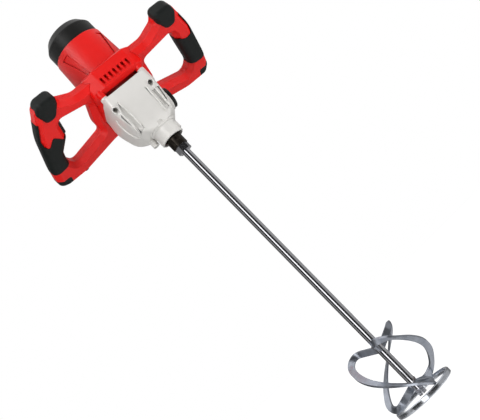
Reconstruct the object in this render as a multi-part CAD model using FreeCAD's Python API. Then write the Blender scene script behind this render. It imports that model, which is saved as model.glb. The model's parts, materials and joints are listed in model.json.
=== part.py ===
"""Two-speed mixing drill: a geared motor between two tilted hand loops, driving a helical stirrer.

Millimetres. Z runs along the spindle and up to the motor, and the collar's end face is at zero.
-Y is the front, where the deep case screws show. +X carries the plain grip and the gear selector,
and -X the grip with the trigger.
"""

import FreeCAD, Part
import math
import os

V = FreeCAD.Vector
UP = V(0, 0, 1)
SIDES = (-1, 1)
FAR = 400.0

# Fits and clearances
RUNNING_FIT = 0.04
SLIDE_GAP = 0.4
SEAT_GAP = 0.15
BACKLASH = 0.3

# Axes of the drive: the spindle is on Z, the motor stands behind it
MOTOR_Y = 35.0
PRESSURE_ANGLE = math.radians(25)
ADDENDUM = 0.85
DEDENDUM = 1.15
MODULE = 1.0
FAST_PINION_TEETH = 9
FAST_WHEEL_TEETH = 39
LOW_PINION_TEETH = 12
LOW_WHEEL_TEETH = 48
HIGH_PINION_TEETH = 20
HIGH_WHEEL_TEETH = 40
FAST_CENTRES = MODULE * (FAST_PINION_TEETH + FAST_WHEEL_TEETH) / 2
SLOW_CENTRES = MODULE * (LOW_PINION_TEETH + LOW_WHEEL_TEETH) / 2
COUNTER_Y = (SLOW_CENTRES**2 - FAST_CENTRES**2 + MOTOR_Y**2) / (2 * MOTOR_Y)
COUNTER_X = math.sqrt(SLOW_CENTRES**2 - COUNTER_Y**2)
SPINDLE_TO_COUNTER = math.atan2(COUNTER_Y, COUNTER_X)
MOTOR_TO_COUNTER = math.atan2(COUNTER_Y - MOTOR_Y, COUNTER_X)

# Heights of the drive
GEAR_WIDTH = 7.0
GEAR_STEP = 0.5
LOW_GEAR_Z = 54.0
GROOVE_WIDTH = 4.0
FLANGE_WIDTH = 1.5
SHIFT_TRAVEL = 2 * GEAR_WIDTH + GEAR_STEP
HIGH_PINION_Z = LOW_GEAR_Z + GEAR_WIDTH + GEAR_STEP
HUB_Z = HIGH_PINION_Z + GEAR_WIDTH
HUB_LENGTH = GROOVE_WIDTH + 2 * FLANGE_WIDTH
HUB_R = 8.5
GROOVE_R = 6.0
HIGH_GEAR_Z = HIGH_PINION_Z + SHIFT_TRAVEL
FAST_GEAR_Z = HUB_Z + HUB_LENGTH + SHIFT_TRAVEL + 2 * GEAR_STEP
PLATE_Z = FAST_GEAR_Z + GEAR_WIDTH + 3.0
COUNTER_HEX = 6.0
COUNTER_COLLAR_R = 7.5

# Ball bearings, as bore, outside diameter and width
MAIN_BEARING = (20.0, 42.0, 12.0)
SPINDLE_TOP_BEARING = (12.0, 32.0, 10.0)
COUNTER_LOW_BEARING = (6.0, 17.0, 6.0)
COUNTER_TOP_BEARING = (10.0, 26.0, 8.0)
MOTOR_LOW_BEARING = (12.0, 32.0, 10.0)
MOTOR_TOP_BEARING = (8.0, 22.0, 7.0)
MAIN_BEARING_Z = 38.0

# Collar and gear case
COLLAR_D = 43.0
COLLAR_LENGTH = 23.0
COLLAR_BORE = 37.0
COLLAR_EDGE = 1.5
COLLAR_STEP = 3.0
COLLAR_STEP_HEIGHT = 8.0
COLLAR_TAB_X = (-6.7, 1.2)
COLLAR_TAB_Z = (26.0, 31.0)
COLLAR_TAB_DEPTH = 1.0
CASE_WALL = 4.0
CASE_TOP = 114.5
CASE_FLOOR_Z = LOW_GEAR_Z - 3.0
LOWER_LUG_SPOT = (24.0, 20.0)
LOWER_LUG_R = 5.8
LOWER_LUG_Z = 14.0
LOWER_LUG_HEIGHT = 16.0

# Sections of the case: height, left flank, left and right front corner, right flank, front, back, back corner
CASE_SECTIONS = (
    (26.0, -30.0, -20.5, 18.0, 27.0, -23.0, 38.0, 20.0),
    (35.0, -38.5, -34.0, 26.0, 35.0, -28.0, 52.0, 22.0),
    (47.0, -44.0, -42.5, 31.5, 40.5, -31.5, 65.0, 24.0),
    (62.0, -47.5, -46.0, 35.0, 42.5, -33.5, 72.0, 26.0),
    (80.0, -50.5, -48.5, 37.0, 44.0, -34.0, 78.0, 28.0),
    (99.0, -50.0, -48.0, 38.0, 46.8, -32.0, 82.0, 32.0),
    (CASE_TOP, -49.0, -46.5, 38.5, 47.5, -29.5, 82.0, 33.0),
)
CASE_FRONT_CORNER = 9.0
CASE_FLANK_CORNER = 24.0
CASE_FLANK_RUN = 28.0

# Sunk panels on the front of the case, as places of x and height
CASE_PANELS = (
    ((-45.0, 72.0), (-42.5, 75.0), (-38.8, 41.0), (-40.4, 43.0), (-42.8, 53.0)),
    ((-40.5, 74.0), (-32.0, 97.0), (-28.5, 36.0), (-37.0, 36.0)),
    ((16.5, 88.0), (19.5, 76.0), (19.0, 38.0), (15.5, 38.0)),
    ((21.5, 74.0), (35.0, 74.0), (31.5, 50.0), (26.5, 38.0), (21.0, 37.0)),
)
CASE_PANEL_DEPTH = 2.4

# Bearing plate in the mouth of the case
PLATE_THICKNESS = 11.0
PLATE_TOP = PLATE_Z + PLATE_THICKNESS
PLATE_HALF = 43.0
PLATE_FRONT = -25.3
PLATE_BACK = 74.0
PLATE_CORNER = 36.0
PLATE_LEDGE = 2.0
PLATE_RIM = 4.0

# Long screws that join the case to the motor housing, each with the place where its way in comes out
CASE_SCREWS = (
    (-41.0, -17.0, (-43.5, -33.0, 86.0)),
    (37.0, -17.0, (29.0, -33.0, 86.0)),
    (40.0, 66.0, (40.0, 66.0, 0.0)),
    (-40.0, 66.0, (-40.0, 66.0, 0.0)),
)
CASE_CHANNEL_R = 3.9
CASE_TOWER_R = 10.0
CASE_HEAD_R = 3.4
CASE_HEAD_HEIGHT = 4.5
CASE_HEAD_Z = 101.0
CASE_SHANK_R = 2.0
CASE_SCREW_END = 132.0
CASE_LUG_R = 6.5
CASE_LUG_Z = 93.0
CASE_LUG_TOP = CASE_TOP + 6.0
CASE_FOOT_TOP = CASE_SCREW_END + 2.0

# Spindle and stirrer
SOCKET_D = 28.0
SOCKET_FLATS = 25.0
SOCKET_END = -18.0
SOCKET_NECK = 3.0
SOCKET_TOP = 13.0
SEAL_SEAT_D = 24.0
SEAL_Z = 14.0
SEAL_WIDTH = 7.0
GEAR_SEAT_D = 18.0
SPACER_R = 11.5
SPACER_FOOT = LOW_GEAR_Z - MAIN_BEARING_Z - MAIN_BEARING[2] - SLIDE_GAP
THREAD_D = 14.0
THREAD_LENGTH = 25.0
THREAD_SPARE = 3.0
STIRRER_HEX = 22.0
STIRRER_HEX_HEIGHT = 11.5
STIRRER_SHAFT_D = 14.0
STIRRER_END = -556.0
STIRRER_D = 120.0
BLADE_COUNT = 3
BLADE_WIDTH = 11.0
BLADE_THICKNESS = 3.5
BLADE_TWIST = math.radians(164)
BLADE_START = math.radians(128.5)
BLADE_HUB_Z = -464.0
BLADE_TOP_Z = -444.0
BLADE_BOTTOM_Z = -551.0
BLADE_FOOT_Z = -538.0
BLADE_BEND_R = 12.0
BLADE_SECTIONS = 25
RING_INSET = 2.0
RING_D = STIRRER_D - BLADE_WIDTH - RING_INSET
RING_HEIGHT = 8.6
RING_THICKNESS = 5.0
RING_ROUND = 1.8
RING_TOP = -551.6

# Gear selector on the case's right side
SELECTOR_Z = 66.0
SELECTOR_BOSS_R = 21.0
SELECTOR_BOSS_X = 45.5
SELECTOR_SHAFT_R = 6.0
SELECTOR_TURN = math.radians(120)
KNOB_R = 19.5
KNOB_X = SELECTOR_BOSS_X + SLIDE_GAP
KNOB_THICKNESS = 6.5
KNOB_SCOOP = 3.0
KNOB_RIM = 2.5
KNOB_BAR_HALF = 5.0
KNOB_SEAT = 4.0
CRANK_R = SHIFT_TRAVEL / 2 / math.sin(SELECTOR_TURN / 2)
CRANK_PIN_R = 2.5
CRANK_DISC_R = CRANK_R + CRANK_PIN_R + 1.0
CRANK_DISC_THICKNESS = 2.6
CRANK_SLACK = 0.7
FORK_X = 33.5
FORK_THICKNESS = 3.5
FORK_HALF_WIDTH = 13.0
FORK_ARM_R = 13.0
FORK_EDGE = 2.5
RAIL_R = 3.0
RAIL_SPOT = (32.0, 48.0)
RAIL_SEAT = 5.0
CRANK_DISC_X = FORK_X + FORK_THICKNESS + SLIDE_GAP

# Motor
BORE_R = 42.5
BORE_LEDGE = 3.0
FAN_Z = 141.0
FAN_HEIGHT = 11.0
FAN_R = 38.0
FAN_PLATE = 2.0
FAN_BLADES = 11
FAN_BLADE_THICKNESS = 1.6
CORE_Z = 162.0
CORE_LENGTH = 42.0
CORE_R = 24.0
CORE_SLOTS = 12
CORE_SLOT_DEPTH = 9.0
CORE_SLOT_WIDTH = 2.4
WINDING_HEIGHT = 6.0
WINDING_R = 21.0
STATOR_BORE_R = 25.0
STATOR_HEIGHT = 44.0
STATOR_Z = 161.0
COIL_OUTER_R = 37.0
COIL_INNER_R = 28.0
COIL_HALF_WIDTH = 24.0
COIL_OVERHANG = 6.0
COMMUTATOR_Z = 210.0
COMMUTATOR_LENGTH = 16.0
COMMUTATOR_R = 14.0
BRUSH_LENGTH = 20.0
BRUSH_WIDTH = 7.0
BRUSH_HEIGHT = 10.0
HOLDER_WALL = 2.0
HOLDER_START = 15.5
HOLDER_LENGTH = 24.0
BRIDGE_Z = 227.0
BRIDGE_THICKNESS = 9.0
BRIDGE_R = 43.2
BRIDGE_RIM = 8.0
BRIDGE_SPOKE_HALF = 8.0
MOTOR_SHAFT_R = 6.0
MOTOR_BEARING_Z = PLATE_TOP + 1.0
TOP_BEARING_Z = BRIDGE_Z + 1.0
BRUSH_Z = BRIDGE_Z - HOLDER_WALL - BRUSH_HEIGHT / 2

# Motor housing, with the vented belt round its foot, and the end cap
HOUSING_TOP = 238.0
HOUSING_FOOT_HALF = 51.0
HOUSING_FOOT_CORNER = 40.0
HOUSING_TOP_HALF = 46.8
HOUSING_TOP_CORNER = 44.0
BELT_Z = 131.0
BELT_TOP = 168.0
BELT_FRONT_Y = -27.0
BELT_X = (-29.0, 36.0)
BELT_SIDE_X = 52.0
BELT_SIDE_RUN = 10.0
BELT_END_X = 50.0
BELT_CORNER = 4.0
BELT_SIDE_CORNER = 8.0
BELT_CHAMFER = 3.0
BELT_SLOPE_RUN = 8.0
BELT_SLOPE_Z = 125.0
BELT_WALL = 7.0
VENT_COUNT = 7
VENT_PITCH = 8.8
VENT_MIDDLE_X = 2.5
VENT_WIDTH = 4.2
VENT_Z = 133.5
VENT_HEIGHT = 15.0
VENT_BREAK = 1.5
OUTLET_X = (-26.0, 27.0)
OUTLET_HEIGHT = 10.5
PANEL_DEPTH = 1.6
PANEL_FOOT = (25.0, 29.5)
PANEL_HEAD = (31.0, 41.0)
PANEL_MARGIN = (5.0, 11.0)
CAP_R = 46.0
CAP_WALL_TOP = 263.0
CAP_TOP = 277.0
CAP_TOP_R = 36.0
CAP_WALL = 3.0
CAP_ROUND = 4.0
CAP_SCREW_X = 29.0

# Hand loops: a slab in a plane that falls to the back, drawn in its own plan of x and run t
LOOP_TILT = 22.0
LOOP_HEIGHT = 141.0
LOOP_THICKNESS = 30.0
LOOP_CHAMFER = 8.5
LOOP_WALL = 5.5
LOOP_FACE_WALL = 4.0
WIRE_WALL = 10.5
WIRE_CHAMFER = 1.0
LOOP_CLEARANCE = 1.0
LOOP_OUTLINE = (
    (74.0, -78.0, 25.0),
    (101.0, -93.0, 12.0),
    (108.0, -112.0, 12.0),
    (141.0, -111.0, 18.0),
    (163.0, -47.0, 140.0),
    (172.0, 24.0, 200.0),
    (175.0, 76.5, 18.0),
    (118.0, 77.0, 80.0),
    (45.0, 60.0, 60.0),
)
LOOP_BACK_T = 77.0
HOLE_INNER = ((61.0, 27.0, 10.0), (66.0, 1.0, 55.0), (60.0, -47.0, 10.0))
HOLE_PLAIN = ((127.0, -58.0, 10.0), (132.0, -20.0, 80.0), (140.0, 26.0, 25.0), (128.0, 46.5, 12.0))
TRIGGER_FACE_X = 118.5
HOLE_TRIGGER = (
    (TRIGGER_FACE_X, -60.0, 8.0),
    (TRIGGER_FACE_X, -23.0, 12.0),
    (137.0, 3.0, 12.0),
    (139.5, 26.0, 14.0),
    (128.0, 46.5, 12.0),
)
LOOP_SCREW_SPOTS = ((84.0, -65.0), (146.0, -62.0), (141.0, 62.0), (92.0, 54.0))
LOOP_BOSS_R = 4.6

# Rubber grips, corner bumpers and foot pads on the loops
GRIP_DEPTH = 3.0
GRIP_PROUD = 0.8
GRIP_ROUND = 12.0
GRIP_BAR = (
    (108.0, -100.0, 14.0),
    (128.5, -44.0, 20.0),
    (132.0, -20.0, 80.0),
    (139.5, 26.0, 30.0),
    (134.0, 64.0, 14.0),
    (174.3, 64.0, 14.0),
    (172.0, 24.0, 200.0),
    (163.0, -47.0, 140.0),
    (144.8, -100.0, 14.0),
)
GRIP_BAR_TRIGGER = (
    (TRIGGER_FACE_X - 12.0, -100.0, 14.0),
    (TRIGGER_FACE_X, -56.0, 20.0),
    (TRIGGER_FACE_X, -23.0, 14.0),
    (137.0, 3.0, 12.0),
    (139.5, 26.0, 14.0),
    (132.0, 64.0, 14.0),
    (174.3, 64.0, 14.0),
    (172.0, 24.0, 200.0),
    (163.0, -47.0, 140.0),
    (144.8, -100.0, 14.0),
)
GRIP_ZONE = (
    (110.0, -38.0, 0.0),
    (130.0, -38.0, 0.0),
    (148.0, -30.0, 4.0),
    (160.8, -34.0, 3.0),
    (160.8, -48.0, 0.0),
    (150.2, -79.0, 0.0),
    (190.0, -79.0, 0.0),
    (190.0, 33.0, 0.0),
    (158.0, 33.0, 40.0),
    (110.0, 27.0, 0.0),
)
GRIP_ZONE_TRIGGER = (
    (110.0, -26.0, 0.0),
    (127.5, -26.0, 3.0),
    (141.0, -43.0, 4.0),
    (154.5, -27.0, 4.0),
    (160.8, -36.0, 3.0),
    (160.8, -48.0, 0.0),
    (150.2, -79.0, 0.0),
    (190.0, -79.0, 0.0),
    (190.0, 33.0, 0.0),
    (158.0, 33.0, 40.0),
    (110.0, 27.0, 0.0),
)
BUMPER_OUTLINE = (
    (105.0, -96.0, 10.0),
    (102.0, -116.0, 10.0),
    (138.0, -116.0, 13.0),
    (144.0, -97.0, 10.0),
    (137.0, -74.0, 10.0),
    (118.0, -74.0, 13.0),
)
BUMPER_N = (-19.0, 10.5)
BUMPER_ROUND = 8.0
PAD_ZONE = ((150.0, 55.0, 4.0), (190.0, 55.0, 0.0), (190.0, 90.0, 0.0), (150.0, 90.0, 0.0))

# Small screws of the loops and the cap
SMALL_SCREW_R = 2.0
SMALL_HEAD_R = 3.6
SMALL_HEAD_HEIGHT = 2.6
SMALL_HEAD_SUNK = 0.6
SMALL_SCREW_SKIN = 3.0

# Switch in the trigger grip
TRIGGER_T = (-56.0, -28.0)
TRIGGER_HEIGHT = 16.0
TRIGGER_PROUD = 3.5
TRIGGER_DEPTH = 9.0
TRIGGER_TRAVEL = 5.0
TRIGGER_ROUND = 3.0
SWITCH_LENGTH = 16.0
SWITCH_ROOM = 2.5
LOCK_SPOT = (-141.0, -51.0)
LOCK_R = 5.0
LOCK_PROUD = 3.2
LOCK_TRAVEL = 2.5
LOCK_FLANGE = 1.2
INLET_X = -118.0
INLET_R = 6.3
INLET_BORE_R = 3.6
INLET_LENGTH = 11.0
INLET_PROUD = 3.0


def disc(radius, z, height, x=0.0, y=0.0):
    """Upright cylinder that stands on height z."""
    return Part.makeCylinder(radius, height, V(x, y, z), UP)


def ring(outer, inner, z, height, x=0.0, y=0.0):
    """Upright tube that stands on height z."""
    return disc(outer, z, height, x, y).cut(disc(inner, z, height, x, y))


def bar(radius, start, length, axis):
    """Cylinder from a start point along an axis."""
    return Part.makeCylinder(radius, length, V(*start), V(*axis))


def box(x, y, z):
    """Box between pairs of limits on each axis."""
    return Part.makeBox(x[1] - x[0], y[1] - y[0], z[1] - z[0], V(x[0], y[0], z[0]))


def fused(shapes):
    """Union of several solids, with merged faces."""
    return shapes[0].multiFuse(shapes[1:]).removeSplitter()


def rounded_wire(points, z=0.0):
    """Closed outline through (x, y, corner radius) points, with an arc at each corner."""
    starts = []
    middles = []
    ends = []
    for i, (x, y, radius) in enumerate(points):
        corner = V(x, y, z)
        before = V(*points[i - 1][:2], z) - corner
        after = V(*points[(i + 1) % len(points)][:2], z) - corner
        before.normalize()
        after.normalize()
        half = before.getAngle(after) / 2
        reach = radius / math.tan(half)
        inward = before + after
        inward.normalize()
        starts.append(corner + before * reach)
        ends.append(corner + after * reach)
        middles.append(corner + inward * (radius / math.sin(half) - radius))
    edges = []
    for i in range(len(points)):
        if points[i][2] > 0:
            edges.append(Part.Arc(starts[i], middles[i], ends[i]).toShape())
        following = starts[(i + 1) % len(points)]
        if (following - ends[i]).Length > 1e-6:
            edges.append(Part.makeLine(ends[i], following))
    return Part.Wire(edges)


def offset_outline(points, grow):
    """The outline moved outwards by grow, with its corner radii changed to match."""
    area = sum(
        points[i - 1][0] * points[i][1] - points[i][0] * points[i - 1][1] for i in range(len(points))
    )
    turn = 1 if area > 0 else -1
    moved = []
    for i, (x, y, radius) in enumerate(points):
        before = V(x - points[i - 1][0], y - points[i - 1][1], 0)
        after = V(points[(i + 1) % len(points)][0] - x, points[(i + 1) % len(points)][1] - y, 0)
        before.normalize()
        after.normalize()
        out_before = V(before.y, -before.x, 0) * turn
        out_after = V(after.y, -after.x, 0) * turn
        mitre = out_before + out_after
        corner = V(x, y, 0) + mitre * (2 * grow / mitre.Length**2)
        convex = (before.x * after.y - before.y * after.x) * turn > 0
        changed = radius + grow if convex else radius - grow
        moved.append((corner.x, corner.y, max(changed, 0.5)))
    return moved


def rounded_box(half, front, back, corner):
    """Outline of a rounded rectangle that is even about x."""
    return ((-half, front, corner), (half, front, corner), (half, back, corner), (-half, back, corner))


def prism(points, z, height):
    """Solid of a rounded outline, standing on height z."""
    return Part.Face(rounded_wire(points, z)).extrude(V(0, 0, height))


def level_edges(solid, *heights):
    """Edges of a solid that lie flat at one of the given heights."""
    found = []
    for edge in solid.Edges:
        limits = edge.BoundBox
        if any(abs(limits.ZMin - z) < 1e-6 and abs(limits.ZMax - z) < 1e-6 for z in heights):
            found.append(edge)
    return found


def revolved(profile, x=0.0, y=0.0):
    """Solid of revolution of an (r, z) outline about an upright axis."""
    points = [V(x + r, y, z) for r, z in profile]
    face = Part.Face(Part.makePolygon(points + points[:1]))
    return face.revolve(V(x, y, 0), UP, 360)


def hexagon(flats, z, height, x=0.0, y=0.0):
    """Upright hexagonal bar by its width across flats."""
    radius = flats / 2 / math.cos(math.pi / 6)
    points = []
    for i in range(7):
        turn = math.pi / 3 * i
        points.append(V(x + radius * math.cos(turn), y + radius * math.sin(turn), z))
    return Part.Face(Part.makePolygon(points)).extrude(V(0, 0, height))


def involute(angle):
    """Involute function of a pressure angle."""
    return math.tan(angle) - angle


def gear(teeth, phase, z, width, x=0.0, y=0.0):
    """Spur gear with involute flanks drawn as short chords, one tooth centred on the phase angle."""
    pitch_r = MODULE * teeth / 2
    base_r = pitch_r * math.cos(PRESSURE_ANGLE)
    tip_r = pitch_r + ADDENDUM * MODULE
    root_r = pitch_r - DEDENDUM * MODULE
    half_tooth = math.pi / (2 * teeth) - BACKLASH / (4 * pitch_r)
    low_r = max(base_r, root_r)
    flank = [(root_r, half_tooth + involute(PRESSURE_ANGLE))]
    for radius in (low_r, (low_r + tip_r) / 2, tip_r):
        lean = involute(math.acos(min(1.0, base_r / radius)))
        flank.append((radius, half_tooth + involute(PRESSURE_ANGLE) - lean))
    points = []
    for i in range(teeth):
        centre = phase + 2 * math.pi * i / teeth
        for radius, half in flank:
            points.append(V(x + radius * math.cos(centre - half), y + radius * math.sin(centre - half), z))
        for radius, half in reversed(flank):
            points.append(V(x + radius * math.cos(centre + half), y + radius * math.sin(centre + half), z))
    return Part.Face(Part.makePolygon(points + points[:1])).extrude(V(0, 0, width))


def facing_phase(direction, teeth):
    """Phase that turns a tooth gap towards a gear lying back along the direction."""
    return direction + math.pi + math.pi / teeth


def bearing(size, z, x=0.0, y=0.0):
    """Sealed ball bearing, with the sunk shields between its two races."""
    bore, outside, width = size
    inner_race = bore / 2 + (outside - bore) / 8
    outer_race = outside / 2 - (outside - bore) / 8
    sunk = width / 12
    shields = ring(outer_race, inner_race, z, sunk, x, y)
    shields = shields.fuse(ring(outer_race, inner_race, z + width - sunk, sunk, x, y))
    return ring(outside / 2, bore / 2 + RUNNING_FIT, z, width, x, y).cut(shields)


def case_outline(section, grow=0.0):
    """Outline of the case at one section, larger or smaller by grow."""
    left, left_front, right_front, right, front, back, corner = section
    flank_y = front + CASE_FLANK_RUN
    outline = (
        (left_front, front, CASE_FRONT_CORNER),
        (right_front, front, CASE_FRONT_CORNER),
        (right, flank_y, CASE_FLANK_CORNER),
        (right, back, corner),
        (left, back, corner),
        (left, flank_y, CASE_FLANK_CORNER),
    )
    return offset_outline(outline, grow)


def case_loft(grow=0.0):
    """Bowl of the gear case through its sections, larger or smaller by grow."""
    wires = [rounded_wire(case_outline(section, grow), z) for z, *section in CASE_SECTIONS]
    return Part.makeLoft(wires, True, False)


def case_outside(grow=0.0):
    """Bowl of the case with its four screw lugs, larger by grow."""
    height = CASE_LUG_TOP - CASE_LUG_Z + 2 * grow
    lugs = [disc(CASE_LUG_R + grow, CASE_LUG_Z - grow, height, x, y) for x, y in case_screw_spots()]
    return fused([case_loft(grow)] + lugs)


def case_panels():
    """Shallow sunk panels between the ribs on the front of the case."""
    inner = case_loft(-CASE_PANEL_DEPTH)
    panels = []
    for corners in CASE_PANELS:
        points = [V(x, -FAR, z) for x, z in corners]
        panels.append(Part.Face(Part.makePolygon(points + points[:1])).extrude(V(0, FAR, 0)).cut(inner))
    return panels


def plate_outline(grow=0.0):
    """Outline of the case's mouth, which the bearing plate fits."""
    return offset_outline(rounded_box(PLATE_HALF, PLATE_FRONT, PLATE_BACK, PLATE_CORNER), grow)


def case_screw_spots():
    """Plan places of the four long case screws."""
    return [(x, y) for x, y, mouth in CASE_SCREWS]


def screw_channel(x, y, mouth):
    """Way in to the head of one case screw, straight from its mouth in the case's skin."""
    head = V(x, y, CASE_HEAD_Z)
    way = V(*mouth) - head
    return Part.makeCylinder(CASE_CHANNEL_R, 2 * way.Length, head, way)


def gear_room():
    """Space inside the gear case, with a ledge left under the bearing plate."""
    ledge = rounded_box(PLATE_HALF - PLATE_LEDGE, PLATE_FRONT, PLATE_BACK - PLATE_LEDGE, PLATE_CORNER)
    room = case_loft(-CASE_WALL).common(prism(ledge, CASE_FLOOR_Z, PLATE_Z - CASE_FLOOR_Z))
    return room.cut([disc(CASE_TOWER_R, 0, CASE_TOP, x, y) for x, y in case_screw_spots()])


def gear_case():
    """Die-cast case with its collar, screw channels, selector boss and gear room."""
    collar = disc(COLLAR_D / 2, 0, COLLAR_LENGTH + COLLAR_STEP_HEIGHT)
    collar = collar.makeChamfer(COLLAR_EDGE, level_edges(collar, 0))
    step = disc(COLLAR_D / 2 + COLLAR_STEP, COLLAR_LENGTH, COLLAR_STEP_HEIGHT)
    step = step.makeChamfer(COLLAR_EDGE, level_edges(step, COLLAR_LENGTH))
    solids = [case_outside(), collar, step]
    for side in SIDES:
        x, y = LOWER_LUG_SPOT
        solids.append(disc(LOWER_LUG_R, LOWER_LUG_Z, LOWER_LUG_HEIGHT, side * x, y))
    solids.append(selector_bar(SELECTOR_BOSS_R, FORK_X, SELECTOR_BOSS_X))
    low_seat = CASE_FLOOR_Z - COUNTER_LOW_BEARING[2]
    crank_room = CRANK_DISC_THICKNESS + 2 * SLIDE_GAP
    fork_pocket = box(
        (FORK_X - FORK_EDGE, CRANK_DISC_X),
        (COUNTER_Y - FORK_HALF_WIDTH - 1, COUNTER_Y + FORK_HALF_WIDTH + 1),
        (SELECTOR_Z - SHIFT_TRAVEL / 2 - CRANK_PIN_R - CRANK_SLACK - FORK_EDGE - 1, PLATE_Z),
    )
    cuts = [
        gear_room(),
        fork_pocket,
        prism(plate_outline(), PLATE_Z, CASE_TOP - PLATE_Z),
        disc(COLLAR_BORE / 2, 0, SEAL_Z + SEAL_WIDTH),
        disc(MAIN_BEARING[1] / 2 - 5, 0, MAIN_BEARING_Z),
        disc(MAIN_BEARING[1] / 2, MAIN_BEARING_Z, CASE_FLOOR_Z - MAIN_BEARING_Z),
        disc(COUNTER_LOW_BEARING[1] / 2, low_seat, COUNTER_LOW_BEARING[2], COUNTER_X, COUNTER_Y),
        disc(RAIL_R, CASE_FLOOR_Z - RAIL_SEAT, PLATE_Z - CASE_FLOOR_Z + RAIL_SEAT, *RAIL_SPOT),
        selector_bar(CRANK_DISC_R + SLIDE_GAP, FORK_X, CRANK_DISC_X + crank_room),
        selector_bar(SELECTOR_SHAFT_R + RUNNING_FIT, FORK_X, FAR),
        box(COLLAR_TAB_X, (-FAR, COLLAR_TAB_DEPTH - COLLAR_D / 2 - COLLAR_STEP), COLLAR_TAB_Z),
    ]
    for x, y, mouth in CASE_SCREWS:
        cuts.append(screw_channel(x, y, mouth))
        cuts.append(disc(CASE_HEAD_R + SLIDE_GAP, CASE_HEAD_Z, CASE_HEAD_HEIGHT, x, y))
        cuts.append(disc(CASE_SHANK_R + SEAT_GAP, CASE_HEAD_Z, CASE_LUG_TOP - CASE_HEAD_Z, x, y))
    return fused(solids).cut(cuts + case_panels())


def bearing_plate():
    """Plate that closes the gear room and carries the upper bearings and the motor's lower one."""
    plate = prism(plate_outline(-SEAT_GAP), PLATE_Z, CASE_TOP - PLATE_Z)
    plate = plate.cut(prism(plate_outline(-PLATE_RIM), PLATE_TOP, CASE_TOP - PLATE_TOP))
    tower_height = MOTOR_BEARING_Z + MOTOR_LOW_BEARING[2] - PLATE_Z
    tower = disc(MOTOR_LOW_BEARING[1] / 2 + CASE_WALL, PLATE_Z, tower_height, 0, MOTOR_Y)
    cuts = [
        disc(SPINDLE_TOP_BEARING[1] / 2, PLATE_Z, SPINDLE_TOP_BEARING[2]),
        disc(COUNTER_TOP_BEARING[1] / 2, PLATE_Z, COUNTER_TOP_BEARING[2], COUNTER_X, COUNTER_Y),
        disc(MOTOR_SHAFT_R + 1, PLATE_Z, PLATE_THICKNESS + 1, 0, MOTOR_Y),
        disc(MOTOR_LOW_BEARING[1] / 2, MOTOR_BEARING_Z, MOTOR_LOW_BEARING[2], 0, MOTOR_Y),
        disc(RAIL_R, PLATE_Z, RAIL_SEAT, *RAIL_SPOT),
    ]
    return fused([plate, tower]).cut(cuts)


def case_screws():
    """Four long socket screws that hold the case to the motor housing."""
    screws = []
    shank_z = CASE_HEAD_Z + CASE_HEAD_HEIGHT
    for x, y in case_screw_spots():
        head = disc(CASE_HEAD_R, CASE_HEAD_Z, CASE_HEAD_HEIGHT, x, y)
        head = head.cut(hexagon(CASE_HEAD_R, CASE_HEAD_Z, CASE_HEAD_HEIGHT / 2, x, y))
        screws.append(fused([head, disc(CASE_SHANK_R, shank_z, CASE_SCREW_END - shank_z, x, y)]))
    return Part.makeCompound(screws)


def spindle():
    """Output spindle with its flatted socket, bearing seats and threaded bore."""
    body = fused([
        disc(SOCKET_D / 2, SOCKET_END, SOCKET_TOP - SOCKET_END),
        disc(SEAL_SEAT_D / 2, SOCKET_TOP, MAIN_BEARING_Z - SEAT_GAP - SOCKET_TOP),
        disc(MAIN_BEARING[0] / 2, SOCKET_TOP, LOW_GEAR_Z - SPACER_FOOT - SOCKET_TOP),
        disc(GEAR_SEAT_D / 2, SOCKET_TOP, PLATE_Z - SEAT_GAP - SOCKET_TOP),
        disc(SPINDLE_TOP_BEARING[0] / 2, SOCKET_TOP, PLATE_Z + SPINDLE_TOP_BEARING[2] - SOCKET_TOP),
    ])
    flats_height = -SOCKET_END - SOCKET_NECK
    flats = disc(SOCKET_D, SOCKET_END, flats_height).cut(hexagon(SOCKET_FLATS, SOCKET_END, flats_height))
    return body.cut([flats, disc(THREAD_D / 2, SOCKET_END, THREAD_LENGTH + THREAD_SPARE)])


def seal_ring():
    """Lip seal between the collar and the spindle."""
    return ring(COLLAR_BORE / 2, SEAL_SEAT_D / 2 + RUNNING_FIT, SEAL_Z, SEAL_WIDTH)


def spindle_spacers():
    """Sleeves that hold the two wheels apart on the spindle."""
    runs = (
        (LOW_GEAR_Z - SPACER_FOOT, LOW_GEAR_Z),
        (LOW_GEAR_Z + GEAR_WIDTH, HIGH_GEAR_Z),
        (HIGH_GEAR_Z + GEAR_WIDTH, FAST_GEAR_Z - 2 * GEAR_STEP),
    )
    return Part.makeCompound([ring(SPACER_R, GEAR_SEAT_D / 2, low, high - low) for low, high in runs])


def spindle_wheel(teeth, z):
    """Driven wheel on the spindle, dished on both faces as such wheels are."""
    wheel = gear(teeth, SPINDLE_TO_COUNTER, z, GEAR_WIDTH)
    dish = ring(MODULE * (teeth / 2 - DEDENDUM - 2), SPACER_R + 1, z, GEAR_WIDTH / 5)
    upper_dish = dish.translated(V(0, 0, GEAR_WIDTH * 4 / 5))
    return wheel.cut([disc(GEAR_SEAT_D / 2, z, GEAR_WIDTH), dish, upper_dish])


def counter_disc(radius, z, top):
    """Upright cylinder on the layshaft's axis between two heights."""
    return disc(radius, z, top - z, COUNTER_X, COUNTER_Y)


def countershaft():
    """Layshaft: a journal, the hexagon that the cluster slides on, and the upper seat."""
    foot = CASE_FLOOR_Z - COUNTER_LOW_BEARING[2]
    hex_z = CASE_FLOOR_Z + SLIDE_GAP
    return fused([
        counter_disc(COUNTER_LOW_BEARING[0] / 2, foot, FAST_GEAR_Z),
        hexagon(COUNTER_HEX, hex_z, FAST_GEAR_Z - hex_z, COUNTER_X, COUNTER_Y),
        counter_disc(COUNTER_TOP_BEARING[0] / 2, FAST_GEAR_Z, PLATE_Z + COUNTER_TOP_BEARING[2]),
        counter_disc(COUNTER_COLLAR_R, FAST_GEAR_Z + GEAR_WIDTH, PLATE_Z - SLIDE_GAP),
    ])


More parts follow.
